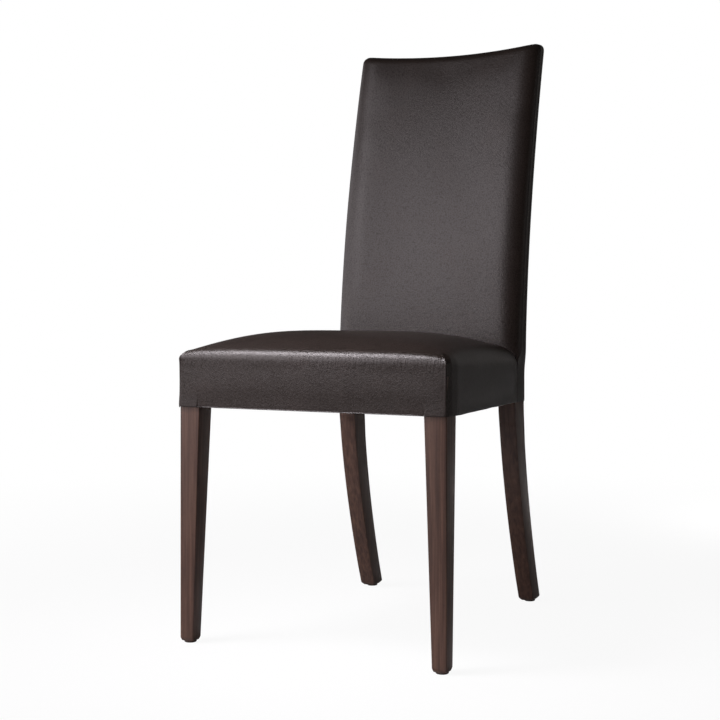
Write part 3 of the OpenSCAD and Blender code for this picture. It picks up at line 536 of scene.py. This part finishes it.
# %% Columns round the back
flat_cols, pad_cols, side_cols, rear_cols, margin_cols = 18, 8, 4, 5, 3
half_cols = 2 * (flat_cols + pad_cols + side_cols // 2)
wall_rows, roll_rows, close_rows = 76, 6, 4
rows = wall_rows + roll_rows + close_rows
top_roll, rear_turn, margin = 13 * mm, 11 * mm, 26 * mm


def section(k, w, t, pad_x, pad_y, turn):
    """Place of column k on the ring round the back: 0 in the middle of the front, then round the
    side to the middle of the rear. w is half the width and t the thickness there."""
    pad_end = flat_cols + pad_cols
    turn_start = pad_end + side_cols
    turn_end = turn_start + rear_cols
    seam_at = turn_end + margin_cols
    g = np.radians(90 * (1 - np.clip((k - flat_cols) / pad_cols, 0, 1)))
    h = np.radians(90 * np.clip((k - turn_start) / rear_cols, 0, 1))
    seam = w - margin
    x = np.select(
        [k <= flat_cols, k <= pad_end, k <= turn_start, k <= turn_end, k <= seam_at],
        [(w - pad_x) * k / flat_cols, w - pad_x + pad_x * np.cos(g), w,
         w - turn + turn * np.cos(h),
         w - turn + (seam - w + turn) * (k - turn_end) / margin_cols],
        seam * (half_cols - k) / (half_cols - seam_at))
    y = np.select(
        [k <= flat_cols, k <= pad_end, k <= turn_start, k <= turn_end],
        [0 * w, pad_y - pad_y * np.sin(g), pad_y + (t - turn - pad_y) * (k - pad_end) / side_cols,
         t - turn + turn * np.sin(h)], t)
    return x, y


# %% Walls of the back and the roll round its top
back = flat_grid("back_leather", 2 * half_cols, rows)
co = points(back)
column = np.rint((co[:, 0] + 1) * half_cols).astype(int) - half_cols
row = np.rint((co[:, 1] + 1) / 2 * rows).astype(int)
side, k = np.where(column < 0, -1, 1), np.abs(column)
# The lowest rows stand at the hem, the highest ones on the top edge above each column
first_x, _ = section(k, back_half(back_root), back_thick(back_root), 30 * mm, 18 * mm, rear_turn)
z = hem_rear + (top_edge(first_x) - top_roll - hem_rear) * np.clip(row / wall_rows, 0, 1)
turned = np.radians(90 * np.clip((row - wall_rows) / roll_rows, 0, 1))
z += top_roll * np.sin(turned)
draw_in = top_roll * (1 - np.cos(turned))
# The padding starts above the flap: below it the edge has only the radius of the posts
soft = smoothstep(flap_z, flap_z + 16 * mm, z)
bare_edge, pad_deep = 2 * mm, 20 * mm
w, t = back_half(z), back_thick(z) - leather_t
x, depth = section(k, w - draw_in, t - 2 * draw_in,
                   np.maximum(bare_edge, bare_edge + (pad_wide(z) - bare_edge) * soft - draw_in),
                   np.maximum(bare_edge, bare_edge + (pad_deep - bare_edge) * soft - draw_in),
                   np.maximum(1 * mm, rear_turn - draw_in))
depth += draw_in
print("back grid:", len(co), "points, top rows drawn in", round(1000 * draw_in.max(), 1), "mm")

# %% Close the top: front and rear meet along the middle of the thickness
closing = np.clip((row - wall_rows - roll_rows) / close_rows, 0, 1)
pair = np.minimum(k, half_cols - k)
pair_x, _ = section(pair, w - draw_in, t - 2 * draw_in, 17 * mm, 5 * mm, 1 * mm)
end_x = w - t / 2
near_end = flat_cols + pad_cols // 2
inner_x = np.where(pair <= near_end, pair_x * end_x / (w - draw_in),
                   end_x - (half_cols / 2 - pair) * 0.9 * mm)
z += closing * (top_edge(inner_x) - top_edge(first_x))
x, depth = x + closing * (inner_x - x), depth + closing * (t / 2 - depth)
# Below the padding the wrap closes up to the seat
y = back_front(z) + depth + hollow(x, z) - 0.8 * mm * (1 - soft)
set_points(back, np.column_stack([side * x, y, z]))
edit_all(back, bpy.ops.mesh.remove_doubles, threshold=0.05 * mm)
edit_all(back, bpy.ops.mesh.normals_make_consistent, inside=False)
report(back)

# %% [markdown]
# ### Openings and swelling
# The rear of the cover is a window between pinned margins, which the rear panel will hide. In
# front, below the flap, there is a gap where the seat goes through. After the simulation two
# long, low waves go over the front, since hand-glued foam is never quite flat.


# %% Window in the rear, and the gap in front where the seat goes through
def behind_front(c):
    return c.y - float(back_front(c.z))


gap_half = 158 * mm
pick_faces(back, lambda c: c.z < window_z and abs(c.x) < float(back_half(c.z)) - margin
           and behind_front(c) > 30 * mm)
bpy.ops.mesh.delete(type="FACE")
pick_faces(back, lambda c: c.z < flap_z and abs(c.x) < gap_half and behind_front(c) < 20 * mm)
bpy.ops.mesh.delete(type="FACE")
bpy.ops.object.mode_set(mode="OBJECT")
report(back)

# %% Simulate the leather of the back
x, y, z = points(back).T
held = 1 - smoothstep(425 * mm, 450 * mm, z)
held = np.maximum(held, smoothstep(24 * mm, 34 * mm, y - back_front(z) - hollow(x, z)))
blow_up(back, held, cap=2.2 * mm)
apply(back, "SUBSURF", levels=1, render_levels=1)
co, n = points(back), normals(back)
x, y, z = co.T
front_face = smoothstep(0.3, 0.9, -n[:, 1]) * smoothstep(470 * mm, 550 * mm, z)
push = 0.25 * mm * front_face * (np.sin(29 * x + 11 * z) + np.sin(17 * x - 23 * z + 1.1))
set_points(back, co + push[:, None] * n)
apply(back, "SOLIDIFY", thickness=leather_t, offset=-1)
report(back)

# %% [markdown]
# ## The rear panel
# The rear of the back is closed by a flat panel of leather over the pinned margins. On the real
# chair its edge is folded over a strip and pulled tight, so its outline is crisp and it stands a
# little proud. A grid takes the form of the back, and its middle is pillowed by one millimetre.

# %% Rear panel
panel_gap, panel_inset, panel_drop, pillow_high = 0.5 * mm, 9 * mm, 14 * mm, 1.0 * mm
panel = flat_grid("rear_leather_panel", 44, 84)
co = points(panel)
u, v = co[:, 0], (co[:, 1] + 1) / 2
panel_low = hem_rear + panel_gap
level = panel_low + (chair_top - panel_drop - panel_low) * v
x = u * (back_half(level) - panel_inset)
z = level - (chair_top - top_edge(x)) * v
pillow = pillow_high * (1 - u ** 8) * (1 - (2 * v - 1) ** 16)
y = back_front(z) + back_thick(z) + 0.35 * mm + hollow(x, z) + pillow
set_points(panel, np.column_stack([x, y, z]))
# The grid's faces look forwards now, and those of the panel look to the rear
edit_all(panel, bpy.ops.mesh.flip_normals)
apply(panel, "SOLIDIFY", thickness=leather_t, offset=-1)
apply(panel, "BEVEL", width=0.5 * mm, segments=2, limit_method="ANGLE",
      angle_limit=math.radians(50))
for cover in (seat, back, panel):
    shade(cover, 50)
report(panel)

# %% [markdown]
# ## Legs and posts
# The front legs are tapered square beech legs; the rear ones are sawn in a sabre curve from one
# board and run on up inside the back. The CAD nodes have their true form with slots and holes.
# What they lack is the eased edge that a router gives every leg, which catches the light, and
# the rounded end of the foot. So each one is copied, its flat faces are joined, the chamfer round
# its foot is made higher, and then those edges and the long corner edges are rounded.


# %% Which edges are rounded
ease, foot_low, foot_high = 1.3 * mm, 4 * mm, 6.5 * mm


def long_corner(edge):
    """An upright edge between two outer faces, below the covers."""
    if len(edge.link_faces) != 2 or edge.calc_face_angle(0) < math.radians(60):
        return False
    a, b = edge.verts[0].co, edge.verts[1].co
    upright = abs(a.z - b.z) > 0.8 * (a - b).length
    return upright and min(a.z, b.z) < 300 * mm


def foot_edge(edge, centre):
    """An edge of the chamfer round the foot, but not of the sole."""
    at_rim = all(v.co.z < foot_high + 2 * mm
                 and min(abs(v.co.x - centre[0]), abs(v.co.y - centre[1])) > 7 * mm
                 for v in edge.verts)
    return at_rim and max(v.co.z for v in edge.verts) > foot_low


# %% Legs with eased edges
foot_inset, foot_raise, glide_edge = 4 * mm, 1.7 * mm, 9.6 * mm
wooden = ["front_left_leg", "front_right_leg", "rear_left_post", "rear_right_post"]
legs = []
for node in wooden:
    leg = copy_of(node, node + "_eased")
    edit_all(leg, bpy.ops.mesh.dissolve_limited, angle_limit=math.radians(0.6))
    # The sole's corners move in, as far as the edge of the glide, and the chamfer's upper rim up
    co = points(leg)
    foot = co[co[:, 2] < foot_high]
    centre = (foot[:, :2].min(axis=0) + foot[:, :2].max(axis=0)) / 2
    away = co[:, :2] - centre
    at_corner = (np.abs(away).min(axis=1) > 7 * mm) & (co[:, 2] < foot_high)
    sole = at_corner & (co[:, 2] < foot_low)
    wide = np.abs(away[at_corner]).max(axis=0)
    co[sole, :2] = centre + np.sign(away[sole]) * np.maximum(glide_edge, wide - foot_inset)
    co[at_corner & ~sole, 2] += foot_raise
    set_points(leg, co)
    count = pick_parts(leg, "EDGE", lambda e: long_corner(e) or foot_edge(e, centre))
    bpy.ops.mesh.bevel(offset=ease, segments=3, profile=0.5, affect="EDGES", clamp_overlap=False)
    shade(leg, 34)
    legs.append(leg)
    print(node, "edges eased:", count)
    report(leg)

# %% [markdown]
# ## Foam
# The seat carries a slab of polyurethane foam, glued up with a crown and rounded with shears;
# the back has a thinner slab over the bent plywood. Both CAD solids have the right room, with
# hard facets. A voxel remesh and some smoothing give the soft, hand-cut form, and a small inward
# push stands for the squeeze of the tight leather.


# %% Foam slabs
squeeze, side_squeeze = 1.2 * mm, 0.982


def soft_copy(node, name, voxel):
    """A copy of a CAD solid with soft edges, a little smaller than its room."""
    piece = copy_of(node, name)
    piece.data.remesh_voxel_size = voxel
    piece.data.remesh_voxel_adaptivity = 0
    bpy.ops.object.voxel_remesh()
    apply(piece, "SMOOTH", factor=0.5, iterations=8)
    apply(piece, "DISPLACE", strength=-squeeze, mid_level=0)
    set_points(piece, points(piece) * (side_squeeze, 1, 1))
    pick(piece)
    bpy.ops.object.shade_smooth()
    report(piece)
    return piece


seat_foam = soft_copy("seat_foam", "seat_foam_slab", 6 * mm)
back_foam = soft_copy("back_foam", "back_foam_slab", 5 * mm)

# %% [markdown]
# ## Webbing
# Elastic webbing carries the seat: straps from front to rear and from side to side, woven over
# and under each other and tacked to the rails. The CAD node has the straps' paths already, so
# only their cut edges are rounded.

# %% Straps
webbing = copy_of("seat_webbing", "seat_webbing_straps")
edit_all(webbing, bpy.ops.mesh.tris_convert_to_quads)
apply(webbing, "BEVEL", width=0.35 * mm, segments=2, limit_method="ANGLE",
      angle_limit=math.radians(60))
shade(webbing, 40)
report(webbing)

# %% [markdown]
# ## The black cloth under the seat
# A thin black cloth, stapled to the undersides of the rails, hides the webbing and keeps dust in.
# It is cut out round the legs and sags a little between its staples. A cloth simulation would
# bring nothing here, since it hangs nearly flat from its border. So a flat grid is set out
# between the rails, the notches are cut on straight lines, and then it is given its sag.

# %% Cloth with notches
cloth_t, cloth_edge, notch_gap = 0.8 * mm, 8 * mm, 1.5 * mm
post_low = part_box("rear_right_post")[0]
cloth_front, cloth_rear = front_y + cloth_edge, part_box("rear_seat_rail")[1].y - 3 * mm
# Each notch is cut outside a distance from the middle, beyond a line across the chair
notches = [(leg_low.x - notch_gap, leg_high.y + notch_gap, -1),
           (post_low.x - notch_gap, post_low.y - notch_gap, 1)]
dust = flat_grid("dust_cloth", 56, 54)
co = points(dust)
y = cloth_front + (co[:, 1] + 1) / 2 * (cloth_rear - cloth_front)
set_points(dust, np.column_stack([co[:, 0] * (seat_half(y) - cloth_edge), y, hem_height(y)]))
for notch_x, notch_y, beyond in notches:
    for point, direction in (((notch_x, 0, 0), (1, 0, 0)), ((-notch_x, 0, 0), (1, 0, 0)),
                             ((0, notch_y, 0), (0, 1, 0))):
        edit_all(dust, bpy.ops.mesh.bisect, plane_co=point, plane_no=direction)
    pick_faces(dust, lambda c: abs(c.x) > notch_x and beyond * (c.y - notch_y) > 0)
    bpy.ops.mesh.delete(type="FACE")
    bpy.ops.object.mode_set(mode="OBJECT")

# %% Sag of the cloth
sag_deep, ripple_high, cloth_half = 4 * mm, 0.3 * mm, 180 * mm
co = points(dust)
x, y = co[:, 0], co[:, 1]
along = (y - cloth_front) / (cloth_rear - cloth_front)
sag = sag_deep * np.clip(1 - (x / cloth_half) ** 2, 0, 1)
sag *= np.clip(1 - (2 * along - 1) ** 2 / 0.85, 0, 1)
ripple = ripple_high * np.sin(70 * x) * np.sin(64 * y)
co[:, 2] = hem_height(y) - 0.1 * mm - sag - ripple * np.clip(sag / mm, 0, 1)
set_points(dust, co)
apply(dust, "SOLIDIFY", thickness=cloth_t, offset=-1)
shade(dust, 40)
report(dust)

# %% [markdown]
# ## Finishes
# Every finish is procedural, from Blender's noise and cell patterns, so that it needs no image
# and stays sharp close up. Patterns are measured in millimetres on the object itself: they read
# Object coordinates times 1000, and a pattern's Scale is one over its size. Where a pattern is
# longer along one axis, as grain is, its coordinates are divided by three sizes instead.


# %% Helpers for materials
def colour(code):
    """A colour written as it looks on a screen, turned into the linear values that shaders take."""
    parts = [int(code[i:i + 2], 16) / 255 for i in (1, 3, 5)]
    return [c / 12.92 if c <= 0.04045 else ((c + 0.055) / 1.055) ** 2.4 for c in parts] + [1]


def add(tree, kind, inputs=None, stops=(), to=None, **settings):
    """Add a node. An input takes a value, another node (its first output) or one of its outputs.
    Stops are the places and colours of a ramp, and to is a socket that the node leads to."""
    node = tree.nodes.new("ShaderNode" + kind)
    for key, value in settings.items():
        setattr(node, key, value)
    for name, value in (inputs or {}).items():
        if isinstance(value, bpy.types.Node):
            value = value.outputs[0]
        if isinstance(value, bpy.types.NodeSocket):
            tree.links.new(value, node.inputs[name])
        else:
            node.inputs[name].default_value = value
    for _ in stops[2:]:
        node.color_ramp.elements.new(0.5)
    for (at, code), element in zip(stops, node.color_ramp.elements if stops else ()):
        element.position, element.color = at, colour(code)
    if to:
        tree.links.new(node.outputs[0], to)
    return node


def new_finish(name, roughness, **sockets):
    """A material, its nodes, its Principled shader, and the object's coordinates in millimetres."""
    material = bpy.data.materials.new(name)
    material.use_nodes = True
    tree = material.node_tree
    shader = tree.nodes["Principled BSDF"]
    shader.inputs["Roughness"].default_value = roughness
    for socket, value in sockets.items():
        shader.inputs[socket.replace("_", " ")].default_value = value
    place = add(tree, "TexCoord").outputs["Object"]
    return material, tree, shader, add(tree, "VectorMath", {0: place, "Scale": 1000}, operation="SCALE")


# %% [markdown]
# ### Leather
# The hide is corrected leather: sanded, embossed with a fine pebble grain and sprayed with a
# satin dressing. To the eye it is a nearly black brown with wide, soft highlights on its rolls,
# a faint sparkle of the grain and slightly uneven gloss. A flat colour would look like rubber,
# so the grain goes into colour, gloss and bump. One cell pattern feeds all three, which keeps
# every pit dull and deep in the same place. It also paints every pit a darker colour: that is
# painted shade, standing in for the shadow that falls into the pits of the grain.


# %% Leather
def make_leather():
    """Corrected and embossed hide, dark brown, with a satin dressing."""
    # The socket's own specular level is the mean of the map that is linked to it below
    material, tree, shader, place = new_finish("dark_brown_leather", 0.4, Specular_IOR_Level=0.36,
                                               Specular_Tint=(1.0, 0.96, 0.95, 1))
    # Mottling 46 mm wide comes from dyeing in a drum. The pebbles are 2 mm wide, about twice the
    # real ones, which would be too fine to show in the render
    mottle = add(tree, "TexNoise", {"Vector": place, "Scale": 1 / 46, "Detail": 4,
                                    "Roughness": 0.55})
    wander = add(tree, "TexNoise", {"Vector": place, "Scale": 1 / 3.4, "Detail": 2})
    moved = add(tree, "VectorMath", {0: place, 1: wander.outputs["Color"]}, operation="ADD")
    pebble = add(tree, "TexVoronoi", {"Vector": moved, "Scale": 1 / 2.0, "Smoothness": 0.6},
                 feature="SMOOTH_F1")
    base = add(tree, "ValToRGB", {0: mottle},
               stops=[(0.28, "#241c18"), (0.5, "#271f1b"), (0.74, "#2b221e")])
    # Painted shade: the pits are drawn up to 18 % darker, standing in for the shadow inside the grain
    painted_pit_shade = add(tree, "MapRange", {"Value": pebble, "From Min": 0.35, "From Max": 0.85,
                                  "To Min": 1.0, "To Max": 0.82})
    add(tree, "VectorMath", {0: base, "Scale": painted_pit_shade}, operation="SCALE",
        to=shader.inputs["Base Color"])
    # The dressing lies on the tops of the grain and leaves its pits dull
    add(tree, "MapRange", {"Value": pebble, "From Min": 0.2, "From Max": 0.8, "To Min": 0.44,
                           "To Max": 0.27}, to=shader.inputs["Specular IOR Level"])
    add(tree, "MapRange", {"Value": mottle, "From Min": 0.3, "From Max": 0.7, "To Min": 0.375,
                           "To Max": 0.405}, to=shader.inputs["Roughness"])
    creases = add(tree, "VectorMath", {0: place, 1: (6, 6, 3.6)}, operation="DIVIDE")
    crease = add(tree, "TexNoise", {"Vector": creases, "Scale": 1, "Detail": 3, "Roughness": 0.6})
    soft = add(tree, "Bump", {"Height": crease, "Distance": 0.28 * mm, "Strength": 0.7})
    grain = add(tree, "Bump", {"Height": pebble, "Distance": 0.14 * mm, "Strength": 0.8,
                               "Normal": soft})
    # Tiny upright puckers just below the front edge, where the hide is pulled over the roll
    axes = add(tree, "SeparateXYZ", {0: place})
    band = 1
    for axis, none_at, full_at in (("Z", 418, 434), ("Z", 447, 437), ("Y", -270, -282)):
        part = add(tree, "MapRange", {"Value": axes.outputs[axis], "From Min": none_at,
                                      "From Max": full_at}, interpolation_type="SMOOTHSTEP")
        band = add(tree, "Math", {0: part, 1: band}, operation="MULTIPLY")
    puckers = add(tree, "VectorMath", {0: place, 1: (3.6, 60, 26)}, operation="DIVIDE")
    pucker = add(tree, "TexNoise", {"Vector": puckers, "Scale": 1, "Detail": 1})
    ups = add(tree, "Math", {0: pucker, 1: 0.5}, operation="SUBTRACT")
    height = add(tree, "Math", {0: ups, 1: band}, operation="MULTIPLY")
    add(tree, "Bump", {"Height": height, "Distance": 1 * mm, "Strength": 0.6, "Normal": grain},
        to=shader.inputs["Normal"])
    return material


leather = make_leather()
print(leather.name, "nodes:", len(leather.node_tree.nodes))

# %% [markdown]
# ### Beech
# The bare legs are planed beech, stained a very dark brown and sprayed with a thin satin lacquer.
# Stain sinks deeper into the soft early wood, which shows as long fine lines, and beech has short
# dark flecks. Both run along the piece, so the patterns are drawn out along one axis. The hidden
# rails and blocks are the same wood, only planed, with the grain along each rail.


# %% Stained and plain beech
def make_wood(name, stops, grain, roughness, coat=0.0):
    """Planed beech: long lines and short flecks. Grain is the lines' size along x, y and z."""
    material, tree, shader, place = new_finish(name, roughness, Coat_Weight=coat,
                                               Coat_Roughness=0.25, Specular_IOR_Level=0.38)
    drawn_out = add(tree, "VectorMath", {0: place, 1: grain}, operation="DIVIDE")
    lines = add(tree, "TexNoise", {"Vector": drawn_out, "Scale": 1, "Detail": 5, "Roughness": 0.6,
                                   "Distortion": 0.3})
    fleck_size = [side / 3 if side < 20 else side / 14 for side in grain]
    drawn_short = add(tree, "VectorMath", {0: place, 1: fleck_size}, operation="DIVIDE")
    flecks = add(tree, "TexVoronoi", {"Vector": drawn_short, "Scale": 1})
    fleck = add(tree, "MapRange", {"Value": flecks, "From Min": 0.10, "From Max": 0.28,
                                   "To Min": 0.72, "To Max": 1.0})
    base = add(tree, "ValToRGB", {0: lines}, stops=stops)
    add(tree, "VectorMath", {0: base, "Scale": fleck}, operation="SCALE",
        to=shader.inputs["Base Color"])
    add(tree, "Bump", {"Height": lines, "Distance": 0.12 * mm, "Strength": 0.35},
        to=shader.inputs["Normal"])
    return material


dark_stain = [(0.28, "#35231b"), (0.46, "#483127"), (0.6, "#553c30"), (0.76, "#63483a")]
pale_beech = [(0.25, "#b08658"), (0.5, "#c49c6c"), (0.8, "#cfac7e")]
stained = make_wood("stained_beech", dark_stain, (4.5, 4.5, 150), 0.47, coat=0.12)
beech_across = make_wood("plain_beech_across", pale_beech, (120, 4.5, 4.5), 0.6)
beech_along = make_wood("plain_beech_along", pale_beech, (4.5, 120, 4.5), 0.6)
print("woods:", stained.name, beech_across.name, beech_along.name)

# %% [markdown]
# ### Foam, plywood and woven goods
# These are hidden inside the chair or seen only from below, but they still look like what they
# are when the chair is taken apart. Foam is matt and pale yellow, with cells of about 1 mm. The
# peeled birch veneer of the plywood has long, faint lines. The webbing and the black cloth are
# woven: two sine waves that cross give the threads over and under each other.


# %% Foam, plywood, webbing and cloth
def make_foam():
    """Cut polyurethane foam: open cells without any shine."""
    material, tree, shader, place = new_finish("polyurethane_foam", 0.95)
    cells = add(tree, "TexVoronoi", {"Vector": place, "Scale": 1 / 1.1})
    add(tree, "ValToRGB", {0: cells}, stops=[(0.0, "#cfc39c"), (0.6, "#e8dfc2")],
        to=shader.inputs["Base Color"])
    add(tree, "Bump", {"Height": cells, "Distance": 0.6 * mm, "Strength": 0.6},
        to=shader.inputs["Normal"])
    return material


def make_plywood():
    """Peeled and sanded birch veneer: long faint lines, nearly matt."""
    material, tree, shader, place = new_finish("birch_plywood", 0.6)
    drawn_out = add(tree, "VectorMath", {0: place, 1: (5, 5, 110)}, operation="DIVIDE")
    veneer = add(tree, "TexNoise", {"Vector": drawn_out, "Scale": 1, "Detail": 5})
    add(tree, "ValToRGB", {0: veneer}, stops=[(0.3, "#b9935f"), (0.7, "#d3b27f")],
        to=shader.inputs["Base Color"])
    add(tree, "Bump", {"Height": veneer, "Distance": 0.1 * mm, "Strength": 0.3},
        to=shader.inputs["Normal"])
    return material


def make_weave(name, dark, pale, thread, roughness):
    """Woven polyester: two crossing sets of threads, so many millimetres apart, and no shine."""
    material, tree, shader, place = new_finish(name, roughness)
    axes = add(tree, "SeparateXYZ", {0: place})
    waves = []
    for axis in ("X", "Y"):
        turn = add(tree, "Math", {0: axes.outputs[axis], 1: 2 * math.pi / thread},
                   operation="MULTIPLY")
        waves.append(add(tree, "Math", {0: turn}, operation="SINE"))
    weave = add(tree, "Math", {0: waves[0], 1: waves[1]}, operation="MULTIPLY")
    level = add(tree, "MapRange", {"Value": weave, "From Min": -1, "From Max": 1})
    add(tree, "ValToRGB", {0: level}, stops=[(0.2, dark), (0.8, pale)],
        to=shader.inputs["Base Color"])
    add(tree, "Bump", {"Height": level, "Distance": 0.3 * mm, "Strength": 0.6},
        to=shader.inputs["Normal"])
    return material


foam, plywood = make_foam(), make_plywood()
strap = make_weave("elastic_webbing", "#1f1f21", "#3a3a3e", 1.8, 0.8)
black_cloth = make_weave("black_lining_cloth", "#131313", "#222222", 0.9, 0.9)
print("hidden finishes:", foam.name, plywood.name, strap.name, black_cloth.name)

# %% [markdown]
# ### Steel and nylon
# Screws and staples are steel wire with a thin, slightly cloudy coat of zinc. The glides are
# moulded nylon, dark brown like the legs so that they don't show, with a faint grain of the mould.


# %% Zinc-plated steel and moulded nylon
def make_steel(name, code, roughness):
    """Zinc-plated steel: grey metal whose gloss varies in clouds 3 mm wide."""
    material, tree, shader, place = new_finish(name, roughness, Metallic=1.0,
                                               Base_Color=colour(code))
    cloudy = add(tree, "TexNoise", {"Vector": place, "Scale": 1 / 3, "Detail": 3})
    add(tree, "MapRange", {"Value": cloudy, "To Min": roughness - 0.08, "To Max": roughness + 0.1},
        to=shader.inputs["Roughness"])
    return material


def make_nylon(name, code, roughness):
    """Moulded nylon: one even colour under a fine grain, half matt."""
    material, tree, shader, place = new_finish(name, roughness, Base_Color=colour(code))
    fine = add(tree, "TexNoise", {"Vector": place, "Scale": 1 / 0.7})
    add(tree, "Bump", {"Height": fine, "Distance": 0.08 * mm, "Strength": 0.4},
        to=shader.inputs["Normal"])
    return material


zinc = make_steel("zinc_plated_steel", "#b6b7b8", 0.34)
nylon = make_nylon("dark_nylon", "#3a2a22", 0.5)
print("hardware finishes:", zinc.name, nylon.name)

# %% [markdown]
# ## Dressing the pieces
# Each new piece takes its finish and rides on the chair's one body, and the CAD node that it
# replaces is hidden. The rails, blocks, plywood, screws, staples and glides have the right form
# already, so they keep their CAD meshes and only get a finish, with the beech grain along each rail.


# %% Finishes on the new pieces
def dress(piece, material, slot, *nodes):
    piece.data.materials.clear()
    piece.data.materials.append(material)
    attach(piece, "root")
    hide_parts(*nodes)


dress(seat, leather, "leather", "seat_cover")
dress(back, leather, "leather", "back_cover")
dress(panel, leather, "leather", "rear_cover")
for node, leg in zip(wooden, legs):
    dress(leg, stained, "stained_wood", node)
dress(seat_foam, foam, "foam", "seat_foam")
dress(back_foam, foam, "foam", "back_foam")
dress(webbing, strap, "webbing", "seat_webbing")
dress(dust, black_cloth, "black_cloth", "dust_cover")
print("new pieces:", len([seat, back, panel, *legs, seat_foam, back_foam, webbing, dust]))

# %% [markdown]
# ### Flat sizes
# A sheet's flat size is the size that it is cut to. The seat's hide is its plan with the skirt,
# the roll and the hem on all sides; only its width is printed here. The back's hide is as wide as
# the front, both sides and both margins, and as high as the back with its curve and the roll at the
# top.

# %% Width of the seat's hide
skirt = seat_edge_z - hem_front + turn_under
print("seat hide", round(1000 * 2 * (half_front + skirt)), "mm wide")

# %% Finishes on the CAD nodes that stay
finishes = {"left_seat_rail": beech_along, "right_seat_rail": beech_along,
            "back_plywood": plywood, "block_screws": zinc, "dust_cover_staples": zinc}
finishes.update({node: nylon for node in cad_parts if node.endswith("_glide")})
finishes.update({node: beech_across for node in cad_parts
                 if node.endswith(("_rail", "_block")) and node not in finishes})
for node, finish in finishes.items():
    for material_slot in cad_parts[node].material_slots:
        material_slot.material = finish
print(len(finishes), "CAD nodes keep their form")

# %% [markdown]
# ## Floor and light
# The photograph is a cut-out on white. The chair in it is lit from the front left, and next to
# nothing comes from the right, where its leather is black. One tall softbox stands at the front
# left. Two weak ones shine from the left side, a narrow beam from above puts the highlight on the
# front edge of the seat, and faint warm ones keep the rear and the right side from going black.
# The camera sees the world and most of the floor as plain white. The floor keeps a faint shadow
# and lights the chair from below.

# %% Floor
bpy.ops.mesh.primitive_plane_add(size=60, location=(0, 0, 0))
floor = bpy.context.object
floor.name = "studio_floor"
ground = bpy.data.materials.new("white_studio_floor")
ground.use_nodes = True
tree = ground.node_tree
shader = tree.nodes["Principled BSDF"]
shader.inputs["Base Color"].default_value = (0.38, 0.38, 0.38, 1)
shader.inputs["Roughness"].default_value = 1
shader.inputs["Specular IOR Level"].default_value = 0
# Near the chair a share of the real floor is seen, with its shadow; further off it is plain white
place = add(tree, "TexCoord").outputs["Object"]
distance = add(tree, "VectorMath", {0: place}, operation="LENGTH").outputs["Value"]
far = add(tree, "MapRange", {"Value": distance, "From Min": 0.7, "From Max": 2.2},
          interpolation_type="SMOOTHSTEP")
strength = add(tree, "MapRange", {"Value": far, "To Min": 1.08, "To Max": 1.0})
white = add(tree, "Emission", {"Color": (1, 1, 1, 1), "Strength": strength})
share = add(tree, "MapRange", {"Value": far, "To Min": 0.86, "To Max": 1.0})
path = add(tree, "LightPath")
seen = add(tree, "Math", {0: path.outputs["Is Camera Ray"], 1: share}, operation="MULTIPLY")
glossy = add(tree, "Math", {0: path.outputs["Is Glossy Ray"], 1: 0.08, 2: seen},
             operation="MULTIPLY_ADD", use_clamp=True)
add(tree, "MixShader", {0: glossy, 1: shader, 2: white},
    to=tree.nodes["Material Output"].inputs["Surface"])
floor.data.materials.append(ground)
print("floor", floor.dimensions.x, "m wide")

# %% World
world = bpy.data.worlds.new("studio")
scene.world = world
world.use_nodes = True
tree = world.node_tree
background = tree.nodes["Background"]
background.inputs["Color"].default_value = (1, 1, 1, 1)
path = add(tree, "LightPath")
add(tree, "MapRange", {"Value": path.outputs["Is Camera Ray"], "To Min": 0.04, "To Max": 1.0},
    to=background.inputs["Strength"])


# %% Lamps
def lamp(name, place, aim, size, power, spread=180, roll=0, tint=(1.0, 0.965, 1.02)):
    """A softbox; a honeycomb in front of it narrows its light to the spread in degrees."""
    bpy.ops.object.light_add(type="AREA", location=place)
    light = bpy.context.object
    light.name = name
    light.data.shape = "RECTANGLE"
    light.data.size, light.data.size_y = size
    light.data.energy = power
    light.data.spread = math.radians(spread)
    light.data.color = tint
    light.visible_camera = False
    turn = (Vector(aim) - Vector(place)).to_track_quat("-Z", "Y")
    light.rotation_euler = (turn @ Quaternion((0, 0, 1), roll)).to_euler()
    print(name, power, "W")


warm = (1.0, 0.94, 0.91)
lamp("key_softbox", (-1.45, -2.4, 1.65), (0, 0, 0.55), (1.4, 2.3), 53, roll=0.6)
lamp("left_softbox", (-2.0, -1.0, 0.9), (-0.1, 0.2, 0.65), (1.4, 1.4), 18)
lamp("side_softbox", (-1.5, 0.3, 0.85), (0, 0.2, 0.6), (1.0, 1.2), 5)
lamp("seat_spot", (-0.77, -0.87, 1.84), (-0.03, -0.33, 0.3), (0.6, 0.6), 2.3, spread=36)
lamp("rear_softbox", (0.7, 2.2, 1.15), (0.1, 0.1, 0.5), (1.4, 1.4), 1.1, tint=warm)
lamp("rear_floor_spot", (0.6, 1.5, 1.0), (0.6, 1.5, 0), (0.5, 0.5), 6, spread=60, tint=warm)
lamp("right_softbox", (2.3, 0.4, 1.0), (0, 0, 0.5), (1.6, 1.6), 3, tint=warm)
scene.view_settings.view_transform = "Standard"
